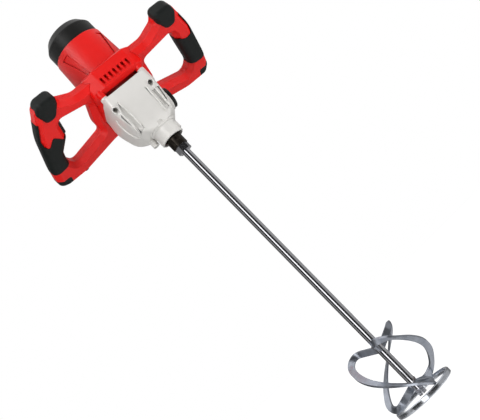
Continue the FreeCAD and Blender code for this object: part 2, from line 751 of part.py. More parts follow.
def counter_wheel():
    """Large wheel on the layshaft, driven by the motor's pinion."""
    phase = facing_phase(MOTOR_TO_COUNTER, FAST_WHEEL_TEETH)
    wheel = gear(FAST_WHEEL_TEETH, phase, FAST_GEAR_Z, GEAR_WIDTH, COUNTER_X, COUNTER_Y)
    return wheel.cut(counter_disc(COUNTER_TOP_BEARING[0] / 2, FAST_GEAR_Z, FAST_GEAR_Z + GEAR_WIDTH))


def sliding_cluster():
    """Pair of pinions and a fork groove in one piece, standing in the low gear."""
    low = facing_phase(SPINDLE_TO_COUNTER, LOW_PINION_TEETH)
    high = facing_phase(SPINDLE_TO_COUNTER, HIGH_PINION_TEETH)
    core_r = MODULE * (LOW_PINION_TEETH / 2 - DEDENDUM)
    top = HUB_Z + HUB_LENGTH
    cluster = fused([
        gear(LOW_PINION_TEETH, low, LOW_GEAR_Z, GEAR_WIDTH, COUNTER_X, COUNTER_Y),
        counter_disc(core_r, LOW_GEAR_Z, top),
        gear(HIGH_PINION_TEETH, high, HIGH_PINION_Z, GEAR_WIDTH, COUNTER_X, COUNTER_Y),
        counter_disc(HUB_R, HUB_Z, top),
    ])
    groove = ring(HUB_R, GROOVE_R, HUB_Z + FLANGE_WIDTH, GROOVE_WIDTH, COUNTER_X, COUNTER_Y)
    bore = hexagon(COUNTER_HEX + 2 * RUNNING_FIT, LOW_GEAR_Z, top - LOW_GEAR_Z, COUNTER_X, COUNTER_Y)
    return cluster.cut([groove, bore])


def crank_pin_place():
    """Place of the crank pin at rest, at the foot of the selector's turn."""
    half_turn = SELECTOR_TURN / 2
    return COUNTER_Y + CRANK_R * math.cos(half_turn), SELECTOR_Z - CRANK_R * math.sin(half_turn)


def shift_fork():
    """Fork on its rail: arms in the cluster's groove and a slotted plate for the crank pin."""
    arms_z = HUB_Z + FLANGE_WIDTH + SLIDE_GAP
    arms_top = arms_z + GROOVE_WIDTH - 2 * SLIDE_GAP
    pin_y, pin_z = crank_pin_place()
    pin_room = CRANK_PIN_R + CRANK_SLACK
    width = (COUNTER_Y - FORK_HALF_WIDTH, COUNTER_Y + FORK_HALF_WIDTH)
    plate_x = (FORK_X, FORK_X + FORK_THICKNESS)
    rail_x, rail_y = RAIL_SPOT
    arms_room = box((COUNTER_X, FORK_X), width, (arms_z, arms_top))
    solids = [
        box(plate_x, width, (pin_z - pin_room - FORK_EDGE, arms_top)),
        counter_disc(FORK_ARM_R, arms_z, arms_top).common(arms_room),
        box((COUNTER_X + GROOVE_R, plate_x[1]), width, (arms_z, arms_top)),
        disc(RAIL_R + FORK_EDGE, arms_z - FORK_EDGE, arms_top - arms_z + FORK_EDGE, rail_x, rail_y),
        box((rail_x - FORK_EDGE, rail_x + FORK_EDGE), (width[1] - 1, rail_y), (arms_z, arms_top)),
    ]
    slot_y = (pin_y - CRANK_PIN_R - SLIDE_GAP, COUNTER_Y + CRANK_R + CRANK_PIN_R + SLIDE_GAP)
    cuts = [
        box(plate_x, slot_y, (pin_z - pin_room, pin_z + pin_room)),
        counter_disc(GROOVE_R + SLIDE_GAP, arms_z, arms_top),
        disc(RAIL_R + RUNNING_FIT, LOW_GEAR_Z, PLATE_Z - LOW_GEAR_Z, rail_x, rail_y),
    ]
    return fused(solids).cut(cuts)


def fork_rail():
    """Pin that the fork slides on, held in the case and the plate."""
    foot = CASE_FLOOR_Z - RAIL_SEAT
    return disc(RAIL_R, foot, PLATE_Z + RAIL_SEAT - foot, *RAIL_SPOT)


def selector_bar(radius, x, end):
    """Cylinder on the selector's axis between two places along x."""
    return bar(radius, (x, COUNTER_Y, SELECTOR_Z), end - x, (1, 0, 0))


def selector_crank():
    """Selector shaft with its crank disc and pin."""
    pin_y, pin_z = crank_pin_place()
    pin_x = FORK_X - SLIDE_GAP
    return fused([
        bar(CRANK_PIN_R, (pin_x, pin_y, pin_z), CRANK_DISC_X - pin_x, (1, 0, 0)),
        selector_bar(CRANK_DISC_R, CRANK_DISC_X, CRANK_DISC_X + CRANK_DISC_THICKNESS),
        selector_bar(SELECTOR_SHAFT_R, CRANK_DISC_X, KNOB_X + KNOB_SEAT),
    ])


def selector_knob():
    """Round selector knob with a finger bar left between two scoops."""
    face_x = KNOB_X + KNOB_THICKNESS
    knob = selector_bar(KNOB_R, KNOB_X, face_x)
    knob = knob.makeChamfer(1.0, [edge for edge in knob.Edges if edge.BoundBox.XMin > face_x - 1e-6])
    finger_bar = box(
        (KNOB_X, face_x),
        (COUNTER_Y - KNOB_BAR_HALF, COUNTER_Y + KNOB_BAR_HALF),
        (SELECTOR_Z - KNOB_R, SELECTOR_Z + KNOB_R),
    )
    scoops = selector_bar(KNOB_R - KNOB_RIM, face_x - KNOB_SCOOP, face_x).cut(finger_bar)
    return knob.cut([scoops, selector_bar(SELECTOR_SHAFT_R, KNOB_X, KNOB_X + KNOB_SEAT)])


def motor_disc(radius, z, top):
    """Upright cylinder on the motor's axis between two heights."""
    return disc(radius, z, top - z, 0, MOTOR_Y)


def motor_ring(outer, inner, z, height):
    """Upright tube on the motor's axis."""
    return ring(outer, inner, z, height, 0, MOTOR_Y)


def round_motor(shape, count):
    """Copies of a shape, drawn about the origin, set round the motor's axis."""
    copies = []
    for i in range(count):
        copy = shape.copy()
        copy.rotate(V(0, 0, 0), UP, 360 / count * i)
        copies.append(copy.translated(V(0, MOTOR_Y, 0)))
    return copies


def armature_shaft():
    """Motor shaft with the pinion cut on its lower end."""
    pinion_z = FAST_GEAR_Z - 1
    neck_z = FAST_GEAR_Z + GEAR_WIDTH + 1
    neck_r = MODULE * (FAST_PINION_TEETH / 2 + ADDENDUM)
    return fused([
        gear(FAST_PINION_TEETH, MOTOR_TO_COUNTER, pinion_z, neck_z - pinion_z, 0, MOTOR_Y),
        motor_disc(neck_r, neck_z, MOTOR_BEARING_Z),
        motor_disc(MOTOR_SHAFT_R, MOTOR_BEARING_Z, TOP_BEARING_Z - SEAT_GAP),
        motor_disc(MOTOR_TOP_BEARING[0] / 2, MOTOR_BEARING_Z, TOP_BEARING_Z + MOTOR_TOP_BEARING[2]),
    ])


def armature_core():
    """Slotted lamination stack on the motor shaft."""
    half = CORE_SLOT_WIDTH / 2
    slot = box((CORE_R - CORE_SLOT_DEPTH, CORE_R + 1), (-half, half), (CORE_Z, CORE_Z + CORE_LENGTH))
    return motor_ring(CORE_R, MOTOR_SHAFT_R, CORE_Z, CORE_LENGTH).cut(round_motor(slot, CORE_SLOTS))


def armature_windings():
    """End turns of the armature's coils, one crown on each end of the core."""
    lower_z = CORE_Z - WINDING_HEIGHT
    upper_z = CORE_Z + CORE_LENGTH
    lower = motor_ring(WINDING_R, MOTOR_SHAFT_R, lower_z, WINDING_HEIGHT)
    upper = motor_ring(WINDING_R, MOTOR_SHAFT_R, upper_z, WINDING_HEIGHT)
    lower = lower.makeChamfer(2, level_edges(lower, lower_z))
    upper = upper.makeChamfer(2, level_edges(upper, upper_z + WINDING_HEIGHT))
    return Part.makeCompound([lower, upper])


def commutator():
    """Copper segment ring that the brushes ride on."""
    return motor_ring(COMMUTATOR_R, MOTOR_SHAFT_R, COMMUTATOR_Z, COMMUTATOR_LENGTH)


def cooling_fan():
    """Fan wheel with straight blades, which blows out through the belt's slots."""
    hub_r = 2 * MOTOR_SHAFT_R
    half = FAN_BLADE_THICKNESS / 2
    blade = box((hub_r + 4, FAN_R - 1), (-half, half), (FAN_Z, FAN_Z + FAN_HEIGHT))
    pieces = [motor_disc(FAN_R, FAN_Z, FAN_Z + FAN_PLATE), motor_disc(hub_r, FAN_Z, FAN_Z + FAN_HEIGHT)]
    wheel = fused(pieces + round_motor(blade, FAN_BLADES))
    return wheel.cut(motor_disc(MOTOR_SHAFT_R, FAN_Z, FAN_Z + FAN_HEIGHT))


def coil_bodies(grow=0.0):
    """Pair of curved coil bodies on the two sides of the stator, larger by grow."""
    foot = STATOR_Z - COIL_OVERHANG
    height = STATOR_HEIGHT + 2 * COIL_OVERHANG
    tube = motor_ring(COIL_OUTER_R + grow, COIL_INNER_R - grow, foot, height)
    half = COIL_HALF_WIDTH + grow
    run = (MOTOR_Y - half, MOTOR_Y + half)
    return [tube.common(box(sorted((0, side * FAR)), run, (foot, foot + height))) for side in SIDES]


def stator():
    """Laminated field stack with the two pockets that its coils fill."""
    return motor_ring(BORE_R - SEAT_GAP, STATOR_BORE_R, STATOR_Z, STATOR_HEIGHT).cut(coil_bodies(SEAT_GAP))


def brush_box(side, start, length, grow):
    """Box along one brush's axis, larger by grow across its section."""
    x = sorted((side * start, side * (start + length)))
    half_width = BRUSH_WIDTH / 2 + grow
    half_height = BRUSH_HEIGHT / 2 + grow
    y = (MOTOR_Y - half_width, MOTOR_Y + half_width)
    return box(x, y, (BRUSH_Z - half_height, BRUSH_Z + half_height))


def carbon_brushes():
    """Two carbon blocks that press on the commutator."""
    start = COMMUTATOR_R + RUNNING_FIT
    return Part.makeCompound([brush_box(side, start, BRUSH_LENGTH, 0) for side in SIDES])


def brush_holders():
    """Two brass boxes under the bridge, which guide the brushes."""
    holders = []
    for side in SIDES:
        shell = brush_box(side, HOLDER_START, HOLDER_LENGTH, HOLDER_WALL)
        holders.append(shell.cut(brush_box(side, COMMUTATOR_R, HOLDER_LENGTH - HOLDER_WALL, RUNNING_FIT)))
    return Part.makeCompound(holders)


def bearing_bridge():
    """Spoked bridge across the housing's top, which holds the upper bearing."""
    top = BRIDGE_Z + BRIDGE_THICKNESS
    hub_r = MOTOR_TOP_BEARING[1] / 2 + CASE_WALL
    window = motor_ring(BRIDGE_R - BRIDGE_RIM, hub_r, BRIDGE_Z, BRIDGE_THICKNESS)
    half = BRIDGE_SPOKE_HALF
    spokes = [
        box((-FAR, FAR), (MOTOR_Y - half, MOTOR_Y + half), (BRIDGE_Z, top)),
        box((-half, half), (-FAR, FAR), (BRIDGE_Z, top)),
    ]
    cuts = [
        window.cut(spokes),
        motor_disc(MOTOR_SHAFT_R + 1, BRIDGE_Z, top),
        motor_disc(MOTOR_TOP_BEARING[1] / 2, TOP_BEARING_Z, top),
    ]
    for side in SIDES:
        cuts.append(disc(SMALL_SCREW_R, BRIDGE_Z, BRIDGE_THICKNESS, side * CAP_SCREW_X, MOTOR_Y))
    return motor_disc(BRIDGE_R - SEAT_GAP, BRIDGE_Z, top).cut(cuts)


def housing_section(half, corner, z):
    """Rounded square round the motor's axis at one height."""
    return rounded_wire(rounded_box(half, MOTOR_Y - half, MOTOR_Y + half, corner), z)


def belt_outline(grow=0.0):
    """Plan outline of the vented belt round the front of the housing's foot."""
    side_y = BELT_FRONT_Y + BELT_SIDE_RUN
    outline = (
        (BELT_X[0], BELT_FRONT_Y, BELT_CORNER),
        (BELT_X[1], BELT_FRONT_Y, BELT_CORNER),
        (BELT_SIDE_X, side_y, BELT_SIDE_CORNER),
        (BELT_END_X, MOTOR_Y, BELT_SIDE_CORNER),
        (-BELT_END_X, MOTOR_Y, BELT_SIDE_CORNER),
        (-BELT_SIDE_X, side_y, BELT_SIDE_CORNER),
    )
    return offset_outline(outline, grow)


def housing_body(grow=0.0):
    """Outside of the motor housing with its belt and screw feet, larger by grow."""
    foot = housing_section(HOUSING_FOOT_HALF + grow, HOUSING_FOOT_CORNER + grow, CASE_TOP - grow)
    head = housing_section(HOUSING_TOP_HALF + grow, HOUSING_TOP_CORNER + grow, HOUSING_TOP)
    belt = prism(belt_outline(grow), BELT_Z, BELT_TOP + grow - BELT_Z)
    belt = belt.makeChamfer(BELT_CHAMFER, level_edges(belt, BELT_TOP + grow))
    slope = [
        rounded_wire(belt_outline(grow - BELT_SLOPE_RUN), BELT_SLOPE_Z),
        rounded_wire(belt_outline(grow), BELT_Z),
    ]
    solids = [Part.makeLoft([foot, head], True, True), belt, Part.makeLoft(slope, True, True)]
    for x, y in case_screw_spots():
        solids.append(disc(CASE_LUG_R + grow, CASE_TOP - grow, CASE_FOOT_TOP - CASE_TOP + 2 * grow, x, y))
    return fused(solids)


def lug_seats():
    """Sockets in the housing's feet that the case's lugs stand in."""
    height = CASE_LUG_TOP - CASE_TOP
    return [disc(CASE_LUG_R + SEAT_GAP, CASE_TOP, height, x, y) for x, y in case_screw_spots()]


def side_panel(side):
    """Sunk panel beside the flat front of the motor housing."""
    foot_z = BELT_TOP + PANEL_MARGIN[0]
    head_z = HOUSING_TOP - PANEL_MARGIN[1]
    corners = [(x, foot_z) for x in PANEL_FOOT] + [(x, head_z) for x in reversed(PANEL_HEAD)]
    front = MOTOR_Y - HOUSING_FOOT_HALF - 1
    points = [V(side * x, front, z) for x, z in corners]
    wedge = Part.Face(Part.makePolygon(points + points[:1])).extrude(V(0, HOUSING_FOOT_HALF, 0))
    return wedge.cut(housing_body(-PANEL_DEPTH))


def vent_scoop(x):
    """Louvre in the belt's front: flush at its foot and deepening upwards until it breaks through."""
    depth = BELT_WALL + VENT_BREAK
    profile = (
        (BELT_FRONT_Y - 1, VENT_Z),
        (BELT_FRONT_Y, VENT_Z),
        (BELT_FRONT_Y + depth, VENT_Z + VENT_HEIGHT),
        (BELT_FRONT_Y - 1, VENT_Z + VENT_HEIGHT),
    )
    points = [V(x, y, z) for y, z in profile]
    return Part.Face(Part.makePolygon(points + points[:1])).extrude(V(VENT_WIDTH, 0, 0))


def motor_housing():
    """Moulded motor housing: tube, vented belt, air outlet, side panels and the seats inside."""
    inner_front = BELT_FRONT_Y + BELT_WALL
    vent_z = (VENT_Z, VENT_Z + VENT_HEIGHT)
    middles = [VENT_MIDDLE_X + VENT_PITCH * (i - (VENT_COUNT - 1) / 2) for i in range(VENT_COUNT)]
    slots = [(x - VENT_WIDTH / 2, x + VENT_WIDTH / 2) for x in middles]
    cuts = [
        motor_disc(BORE_R - BORE_LEDGE, CASE_TOP, STATOR_Z),
        motor_disc(BORE_R, STATOR_Z, BRIDGE_Z),
        motor_disc(BRIDGE_R, BRIDGE_Z, HOUSING_TOP),
        box((slots[0][0], slots[-1][1]), (inner_front, MOTOR_Y), vent_z),
    ]
    cuts += [vent_scoop(slot[0]) for slot in slots]
    cuts.append(box(OUTLET_X, (-FAR, MOTOR_Y), (CASE_TOP, CASE_TOP + OUTLET_HEIGHT)))
    cuts += [side_panel(side) for side in SIDES]
    for x, y in case_screw_spots():
        cuts.append(disc(CASE_SHANK_R, CASE_TOP, CASE_SCREW_END - CASE_TOP, x, y))
    return housing_body().cut(cuts + lug_seats())


def end_cap():
    """Bevelled motor cap with two screw posts inside."""
    inner_r = CAP_R - CAP_WALL
    outside = (
        (0, HOUSING_TOP),
        (CAP_R, HOUSING_TOP),
        (CAP_R, CAP_WALL_TOP),
        (CAP_TOP_R, CAP_TOP),
        (0, CAP_TOP),
    )
    inside = (
        (0, HOUSING_TOP),
        (inner_r, HOUSING_TOP),
        (inner_r, CAP_WALL_TOP - CAP_WALL / 2),
        (CAP_TOP_R - CAP_WALL, CAP_TOP - CAP_WALL),
        (0, CAP_TOP - CAP_WALL),
    )
    cap = revolved(outside, 0, MOTOR_Y)
    cap = cap.makeFillet(CAP_ROUND, level_edges(cap, CAP_WALL_TOP, CAP_TOP)).cut(revolved(inside, 0, MOTOR_Y))
    bridge_top = BRIDGE_Z + BRIDGE_THICKNESS
    head_z = CAP_TOP - SMALL_HEAD_HEIGHT - SMALL_HEAD_SUNK
    posts = []
    cuts = []
    for side in SIDES:
        x = side * CAP_SCREW_X
        posts.append(disc(LOOP_BOSS_R, bridge_top, CAP_TOP - CAP_WALL / 2 - bridge_top, x, MOTOR_Y))
        cuts.append(disc(SMALL_HEAD_R + SEAT_GAP, head_z, CAP_TOP - head_z, x, MOTOR_Y))
        cuts.append(disc(SMALL_SCREW_R, bridge_top, CAP_TOP - bridge_top, x, MOTOR_Y))
    return fused([cap] + posts).cut(cuts)


def small_screw(tip_z, head_z, x, y):
    """Small cylinder-head screw with its head's underside at head_z."""
    head = disc(SMALL_HEAD_R, head_z, SMALL_HEAD_HEIGHT, x, y)
    return fused([head, disc(SMALL_SCREW_R, tip_z, head_z - tip_z, x, y)])


def cap_screws():
    """Two screws from the cap's top into the bridge."""
    head_z = CAP_TOP - SMALL_HEAD_HEIGHT - SMALL_HEAD_SUNK
    screws = [small_screw(TOP_BEARING_Z, head_z, side * CAP_SCREW_X, MOTOR_Y) for side in SIDES]
    return Part.makeCompound(screws)


def tilted(shape):
    """A piece drawn in the loops' own plan, set at their height and tilt."""
    placed = shape.translated(V(0, 0, LOOP_HEIGHT))
    placed.rotate(V(0, 0, 0), V(1, 0, 0), -LOOP_TILT)
    return placed


def mirrored(points):
    """Outline on the other side, in the same turning sense."""
    return [(-point[0], *point[1:]) for point in reversed(points)]


def sided(points, side):
    """Outline given for the right side, on the side that is asked for."""
    return list(points) if side > 0 else mirrored(points)


def loop_slab(inset=0.0, face_inset=0.0, chamfer=LOOP_CHAMFER):
    """Both loops as one bevelled slab with its hand holes, drawn in by an inset all round."""
    half = LOOP_THICKNESS / 2 - face_inset
    outline = list(LOOP_OUTLINE) + mirrored(LOOP_OUTLINE)
    holes = (HOLE_INNER + HOLE_PLAIN, mirrored(HOLE_INNER + HOLE_TRIGGER))
    slab = prism(offset_outline(outline, -inset), -half, 2 * half)
    slab = slab.cut([prism(offset_outline(hole, inset), -half, 2 * half) for hole in holes])
    return slab.makeChamfer(chamfer, level_edges(slab, -half, half))


def loop_core():
    """The loops drawn in by the depth that rubber parts are let into them."""
    return loop_slab(GRIP_DEPTH, GRIP_DEPTH, LOOP_CHAMFER - 1)


def column(points, side):
    """Tall prism of an outline given for the right side, which passes right through the loops."""
    return prism(sided(points, side), -LOOP_THICKNESS, 2 * LOOP_THICKNESS)


def grip_zone(side):
    """Stretch of a loop that its rubber grip covers."""
    return column(GRIP_ZONE if side > 0 else GRIP_ZONE_TRIGGER, side)


def bumper_blank(side):
    """Rounded block of one corner bumper, before the loop is cut from it."""
    blank = prism(sided(BUMPER_OUTLINE, side), BUMPER_N[0], BUMPER_N[1] - BUMPER_N[0])
    return blank.makeFillet(BUMPER_ROUND, level_edges(blank, *BUMPER_N))


def grip_sleeve(side):
    """Rubber grip moulded round the loop's core, rounder than the loop itself."""
    half = LOOP_THICKNESS / 2 + GRIP_PROUD
    outline = offset_outline(GRIP_BAR if side > 0 else GRIP_BAR_TRIGGER, GRIP_PROUD)
    blank = prism(sided(outline, side), -half, 2 * half)
    blank = blank.makeFillet(GRIP_ROUND, level_edges(blank, -half, half))
    return tilted(blank.common(grip_zone(side)).cut([loop_core(), bumper_blank(side)]))


def bumper(side):
    """Rubber bumper moulded over a front corner of the loops."""
    return tilted(bumper_blank(side).cut(loop_slab()))


def foot_pad(side):
    """Rubber pad let into a back corner, which the machine is set down on."""
    return tilted(loop_slab().common(column(PAD_ZONE, side)).cut(loop_core()))


def loop_screw_spots():
    """Plan places of the screws that join the two loop shells."""
    return [(side * x, t) for side in SIDES for x, t in LOOP_SCREW_SPOTS]


def trigger_block(grow):
    """Block of the trigger in the loops' plan, larger by grow."""
    half = TRIGGER_HEIGHT / 2 + grow
    x = (-TRIGGER_FACE_X - TRIGGER_DEPTH, -TRIGGER_FACE_X + TRIGGER_PROUD)
    return box(x, (TRIGGER_T[0] - grow, TRIGGER_T[1] + grow), (-half, half))


def switch_start():
    """Plan place of the switch's face behind the pressed trigger."""
    return -TRIGGER_FACE_X - TRIGGER_DEPTH - TRIGGER_TRAVEL - SLIDE_GAP


def switch_room():
    """Room inside the trigger's loop for the switch, the pressed trigger and the lock button."""
    x = (switch_start() - SWITCH_LENGTH - SWITCH_ROOM, -TRIGGER_FACE_X)
    t = (TRIGGER_T[0] - SWITCH_ROOM, TRIGGER_T[1] + SWITCH_ROOM)
    room = loop_slab(LOOP_WALL, LOOP_FACE_WALL, LOOP_CHAMFER / 2)
    return room.common(box(x, t, (-LOOP_THICKNESS, LOOP_THICKNESS)))


def loop_shell(upper):
    """Upper or lower moulded shell of both hand loops, cleared round the housing and the case."""
    half = LOOP_THICKNESS / 2
    core = loop_core()
    wire_way = loop_slab(LOOP_WALL, WIRE_WALL, WIRE_CHAMFER)
    bosses = [disc(LOOP_BOSS_R, 1 - half, LOOP_THICKNESS - 2, x, t) for x, t in loop_screw_spots()]
    cuts = [trigger_block(SLIDE_GAP), disc(LOCK_R + SLIDE_GAP, 0, half, *LOCK_SPOT)]
    cuts.append(bar(INLET_R, (INLET_X, LOOP_BACK_T - INLET_LENGTH, 0), 2 * INLET_LENGTH, (0, 1, 0)))
    for side in SIDES:
        cuts.append(grip_zone(side).cut(core))
        cuts.append(column(PAD_ZONE, side).cut(core))
    head_n = half - SMALL_HEAD_HEIGHT - SMALL_HEAD_SUNK
    for x, t in loop_screw_spots():
        cuts.append(disc(SMALL_SCREW_R, SMALL_SCREW_SKIN - half, LOOP_THICKNESS, x, t))
        cuts.append(disc(SMALL_HEAD_R + SEAT_GAP, head_n, half, x, t))
    side_n = (0, LOOP_THICKNESS) if upper else (-LOOP_THICKNESS, 0)
    shell = loop_slab().cut(wire_way).fuse(bosses).common(box((-FAR, FAR), (-FAR, FAR), side_n))
    shell = shell.cut(cuts + [switch_room()])
    belt_front = box(BELT_X, (-FAR, MOTOR_Y - HOUSING_TOP_HALF), (0, FAR))
    neighbours = [housing_body(SEAT_GAP), belt_front, case_outside(LOOP_CLEARANCE)]
    return tilted(shell).cut(neighbours).removeSplitter()


def loop_screws():
    """Screws that draw the two loop shells together, from the upper side."""
    half = LOOP_THICKNESS / 2
    head_n = half - SMALL_HEAD_HEIGHT - SMALL_HEAD_SUNK
    return Part.makeCompound(
        [tilted(small_screw(SMALL_SCREW_SKIN - half, head_n, x, t)) for x, t in loop_screw_spots()]
    )


def trigger():
    """Trigger paddle in the inner face of its grip, rounded where the fingers rest."""
    blade = trigger_block(0)
    face = TRIGGER_PROUD - TRIGGER_FACE_X
    rounded = [edge for edge in blade.Edges if edge.BoundBox.XMin > face - 1e-6]
    return tilted(blade.makeFillet(TRIGGER_ROUND, rounded))


def switch_body():
    """Switch unit behind the trigger, with the socket that the lock button enters."""
    start = switch_start()
    half = LOOP_THICKNESS / 2 - LOOP_FACE_WALL - SEAT_GAP
    socket_n = half - LOCK_FLANGE - LOCK_TRAVEL - SLIDE_GAP
    body = box((start - SWITCH_LENGTH, start), TRIGGER_T, (-half, half))
    return tilted(body.cut(disc(LOCK_R + 2 * LOCK_FLANGE, socket_n, half, *LOCK_SPOT)))


def lock_button():
    """Round lock-on button in the upper shell, with a flange that keeps it in."""
    flange_n = LOOP_THICKNESS / 2 - LOOP_FACE_WALL - LOCK_FLANGE - SEAT_GAP
    flange = disc(LOCK_R + LOCK_FLANGE, flange_n, LOCK_FLANGE, *LOCK_SPOT)
    length = LOCK_FLANGE + LOOP_FACE_WALL + LOCK_PROUD
    stem = disc(LOCK_R, flange_n, length, *LOCK_SPOT)
    stem = stem.makeChamfer(1.0, level_edges(stem, flange_n + length))
    return tilted(fused([flange, stem]))


def cord_inlet():
    """Rubber bush in the back edge of the loops, where the mains lead enters."""
    start = (INLET_X, LOOP_BACK_T + INLET_PROUD - INLET_LENGTH, 0)
    bush = bar(INLET_R, start, INLET_LENGTH, (0, 1, 0))
    return tilted(bush.cut(bar(INLET_BORE_R, start, INLET_LENGTH, (0, 1, 0))))


def stirrer_shaft():
    """Stirrer rod with its hexagon and the threaded stub that screws into the spindle."""
    hex_z = SOCKET_END - STIRRER_HEX_HEIGHT
    return fused([
        disc(STIRRER_SHAFT_D / 2, STIRRER_END, hex_z - STIRRER_END),
        hexagon(STIRRER_HEX, hex_z, STIRRER_HEX_HEIGHT),
        disc(THREAD_D / 2, SOCKET_END, THREAD_LENGTH),
    ])


def stirrer_ring():
    """Ring that joins the feet of the blades."""
    hoop = ring(RING_D / 2, RING_D / 2 - RING_THICKNESS, RING_TOP - RING_HEIGHT, RING_HEIGHT)
    return hoop.makeFillet(RING_ROUND, level_edges(hoop, RING_TOP, RING_TOP - RING_HEIGHT))


def blade_line():
    """Middle line of a blade as radius over height: an arm out, the side down and an arm in."""
    side_r = (STIRRER_D - BLADE_WIDTH) / 2
    root_r = STIRRER_SHAFT_D / 2 - 2
    corners = [
        V(root_r, BLADE_HUB_Z, 0),
        V(side_r, BLADE_TOP_Z, 0),
        V(side_r, BLADE_BOTTOM_Z, 0),
        V(root_r, BLADE_FOOT_Z, 0),
    ]
    edges = []
    start = corners[0]
    for i in (1, 2):
        before = (corners[i - 1] - corners[i]).normalize()
        after = (corners[i + 1] - corners[i]).normalize()
        half = before.getAngle(after) / 2
        reach = BLADE_BEND_R / math.tan(half)
        bend_start = corners[i] + before * reach
        bend_end = corners[i] + after * reach
        to_arc = BLADE_BEND_R / math.sin(half) - BLADE_BEND_R
        bend_middle = corners[i] + (before + after).normalize() * to_arc
        edges.append(Part.makeLine(start, bend_start))
        edges.append(Part.Arc(bend_start, bend_middle, bend_end).toShape())
        start = bend_end
    edges.append(Part.makeLine(start, corners[3]))
    return Part.Wire(edges)


def blade_frame(line, share, turn):
    """Point of a blade at a share of its run, with its radius direction and its height direction."""
    lengths = [edge.Length for edge in line.OrderedEdges]
    run = share * sum(lengths)
    wound = min(1.0, max(0.0, (run - lengths[0]) / sum(lengths[1:4])))
    angle = turn + BLADE_TWIST * wound
    index = 0
    while index < len(lengths) - 1 and run > lengths[index]:
        run -= lengths[index]
        index += 1
    edge = line.OrderedEdges[index]
    place = edge.valueAt(edge.getParameterByLength(run))
    slope = edge.tangentAt(edge.getParameterByLength(run))
    outward = V(math.cos(angle), math.sin(angle), 0)
    return outward * place.x + UP * place.y, outward * -slope.y + UP * slope.x


def stirrer_blade(number):
    """Flat bar wound round the shaft: wide along its radius, welded to the shaft and the ring."""
    line = blade_line()
    turn = BLADE_START + 2 * math.pi * number / BLADE_COUNT
    step = 0.002
    wires = []
    for i in range(BLADE_SECTIONS):
        share = i / (BLADE_SECTIONS - 1)
        point, across = blade_frame(line, share, turn)
        later = blade_frame(line, min(1.0, share + step), turn)[0]
        earlier = blade_frame(line, max(0.0, share - step), turn)[0]
        ahead = later - earlier
        through = ahead.cross(across).normalize()
        across = through.cross(ahead).normalize()
        wide = across * (BLADE_WIDTH / 2)
        thick = through * (BLADE_THICKNESS / 2)
        corners = [point + wide + thick, point - wide + thick, point - wide - thick, point + wide - thick]
        wires.append(Part.makePolygon(corners + corners[:1]))
    blade = Part.makeLoft(wires, True, False)
    return blade.cut([stirrer_shaft(), stirrer_ring()])


os.makedirs("parts", exist_ok=True)
NODES = {
    "gear_case": gear_case(),
    "bearing_plate": bearing_plate(),
    "case_screws": case_screws(),
    "seal_ring": seal_ring(),
    "spindle_main_bearing": bearing(MAIN_BEARING, MAIN_BEARING_Z),
    "spindle_top_bearing": bearing(SPINDLE_TOP_BEARING, PLATE_Z),
    "counter_low_bearing": bearing(
        COUNTER_LOW_BEARING, CASE_FLOOR_Z - COUNTER_LOW_BEARING[2], COUNTER_X, COUNTER_Y
    ),
    "counter_top_bearing": bearing(COUNTER_TOP_BEARING, PLATE_Z, COUNTER_X, COUNTER_Y),
    "motor_low_bearing": bearing(MOTOR_LOW_BEARING, MOTOR_BEARING_Z, 0, MOTOR_Y),
    "motor_top_bearing": bearing(MOTOR_TOP_BEARING, TOP_BEARING_Z, 0, MOTOR_Y),
    "spindle": spindle(),
    "spindle_spacers": spindle_spacers(),
    "low_wheel": spindle_wheel(LOW_WHEEL_TEETH, LOW_GEAR_Z),
    "high_wheel": spindle_wheel(HIGH_WHEEL_TEETH, HIGH_GEAR_Z),
    "countershaft": countershaft(),
    "counter_wheel": counter_wheel(),
    "sliding_cluster": sliding_cluster(),
    "shift_fork": shift_fork(),
    "fork_rail": fork_rail(),
    "selector_crank": selector_crank(),
    "selector_knob": selector_knob(),
    "armature_shaft": armature_shaft(),
    "armature_core": armature_core(),
    "armature_windings": armature_windings(),
    "commutator": commutator(),
    "cooling_fan": cooling_fan(),
    "stator": stator(),
    "field_coils": Part.makeCompound(coil_bodies()),
    "carbon_brushes": carbon_brushes(),
    "brush_holders": brush_holders(),
    "bearing_bridge": bearing_bridge(),
    "motor_housing": motor_housing(),
    "end_cap": end_cap(),
    "cap_screws": cap_screws(),
    "upper_loop_shell": loop_shell(True),
    "lower_loop_shell": loop_shell(False),
    "loop_screws": loop_screws(),
    "right_grip": grip_sleeve(1),
    "left_grip": grip_sleeve(-1),
    "right_bumper": bumper(1),
    "left_bumper": bumper(-1),
    "right_foot_pad": foot_pad(1),
    "left_foot_pad": foot_pad(-1),
    "trigger": trigger(),
    "switch_body": switch_body(),
    "lock_button": lock_button(),
    "cord_inlet": cord_inlet(),
    "stirrer_shaft": stirrer_shaft(),
    "stirrer_ring": stirrer_ring(),
}
for number in range(BLADE_COUNT):
    NODES[f"stirrer_blade_{number + 1}"] = stirrer_blade(number)
for name, shape in NODES.items():
    shape.exportStep(f"parts/{name}.step")
    print(name, len(shape.Solids), shape.isValid(), round(shape.Volume))
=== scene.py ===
"""Finishes and studio for a two-handed mixing drill.

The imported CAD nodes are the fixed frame. This file gives each of them the surface of its real
material, adds the small formed details that the solids leave out, and sets the stage.
"""

import json
import math

import bmesh
import bpy
import numpy as np
from mathutils import Matrix, Vector


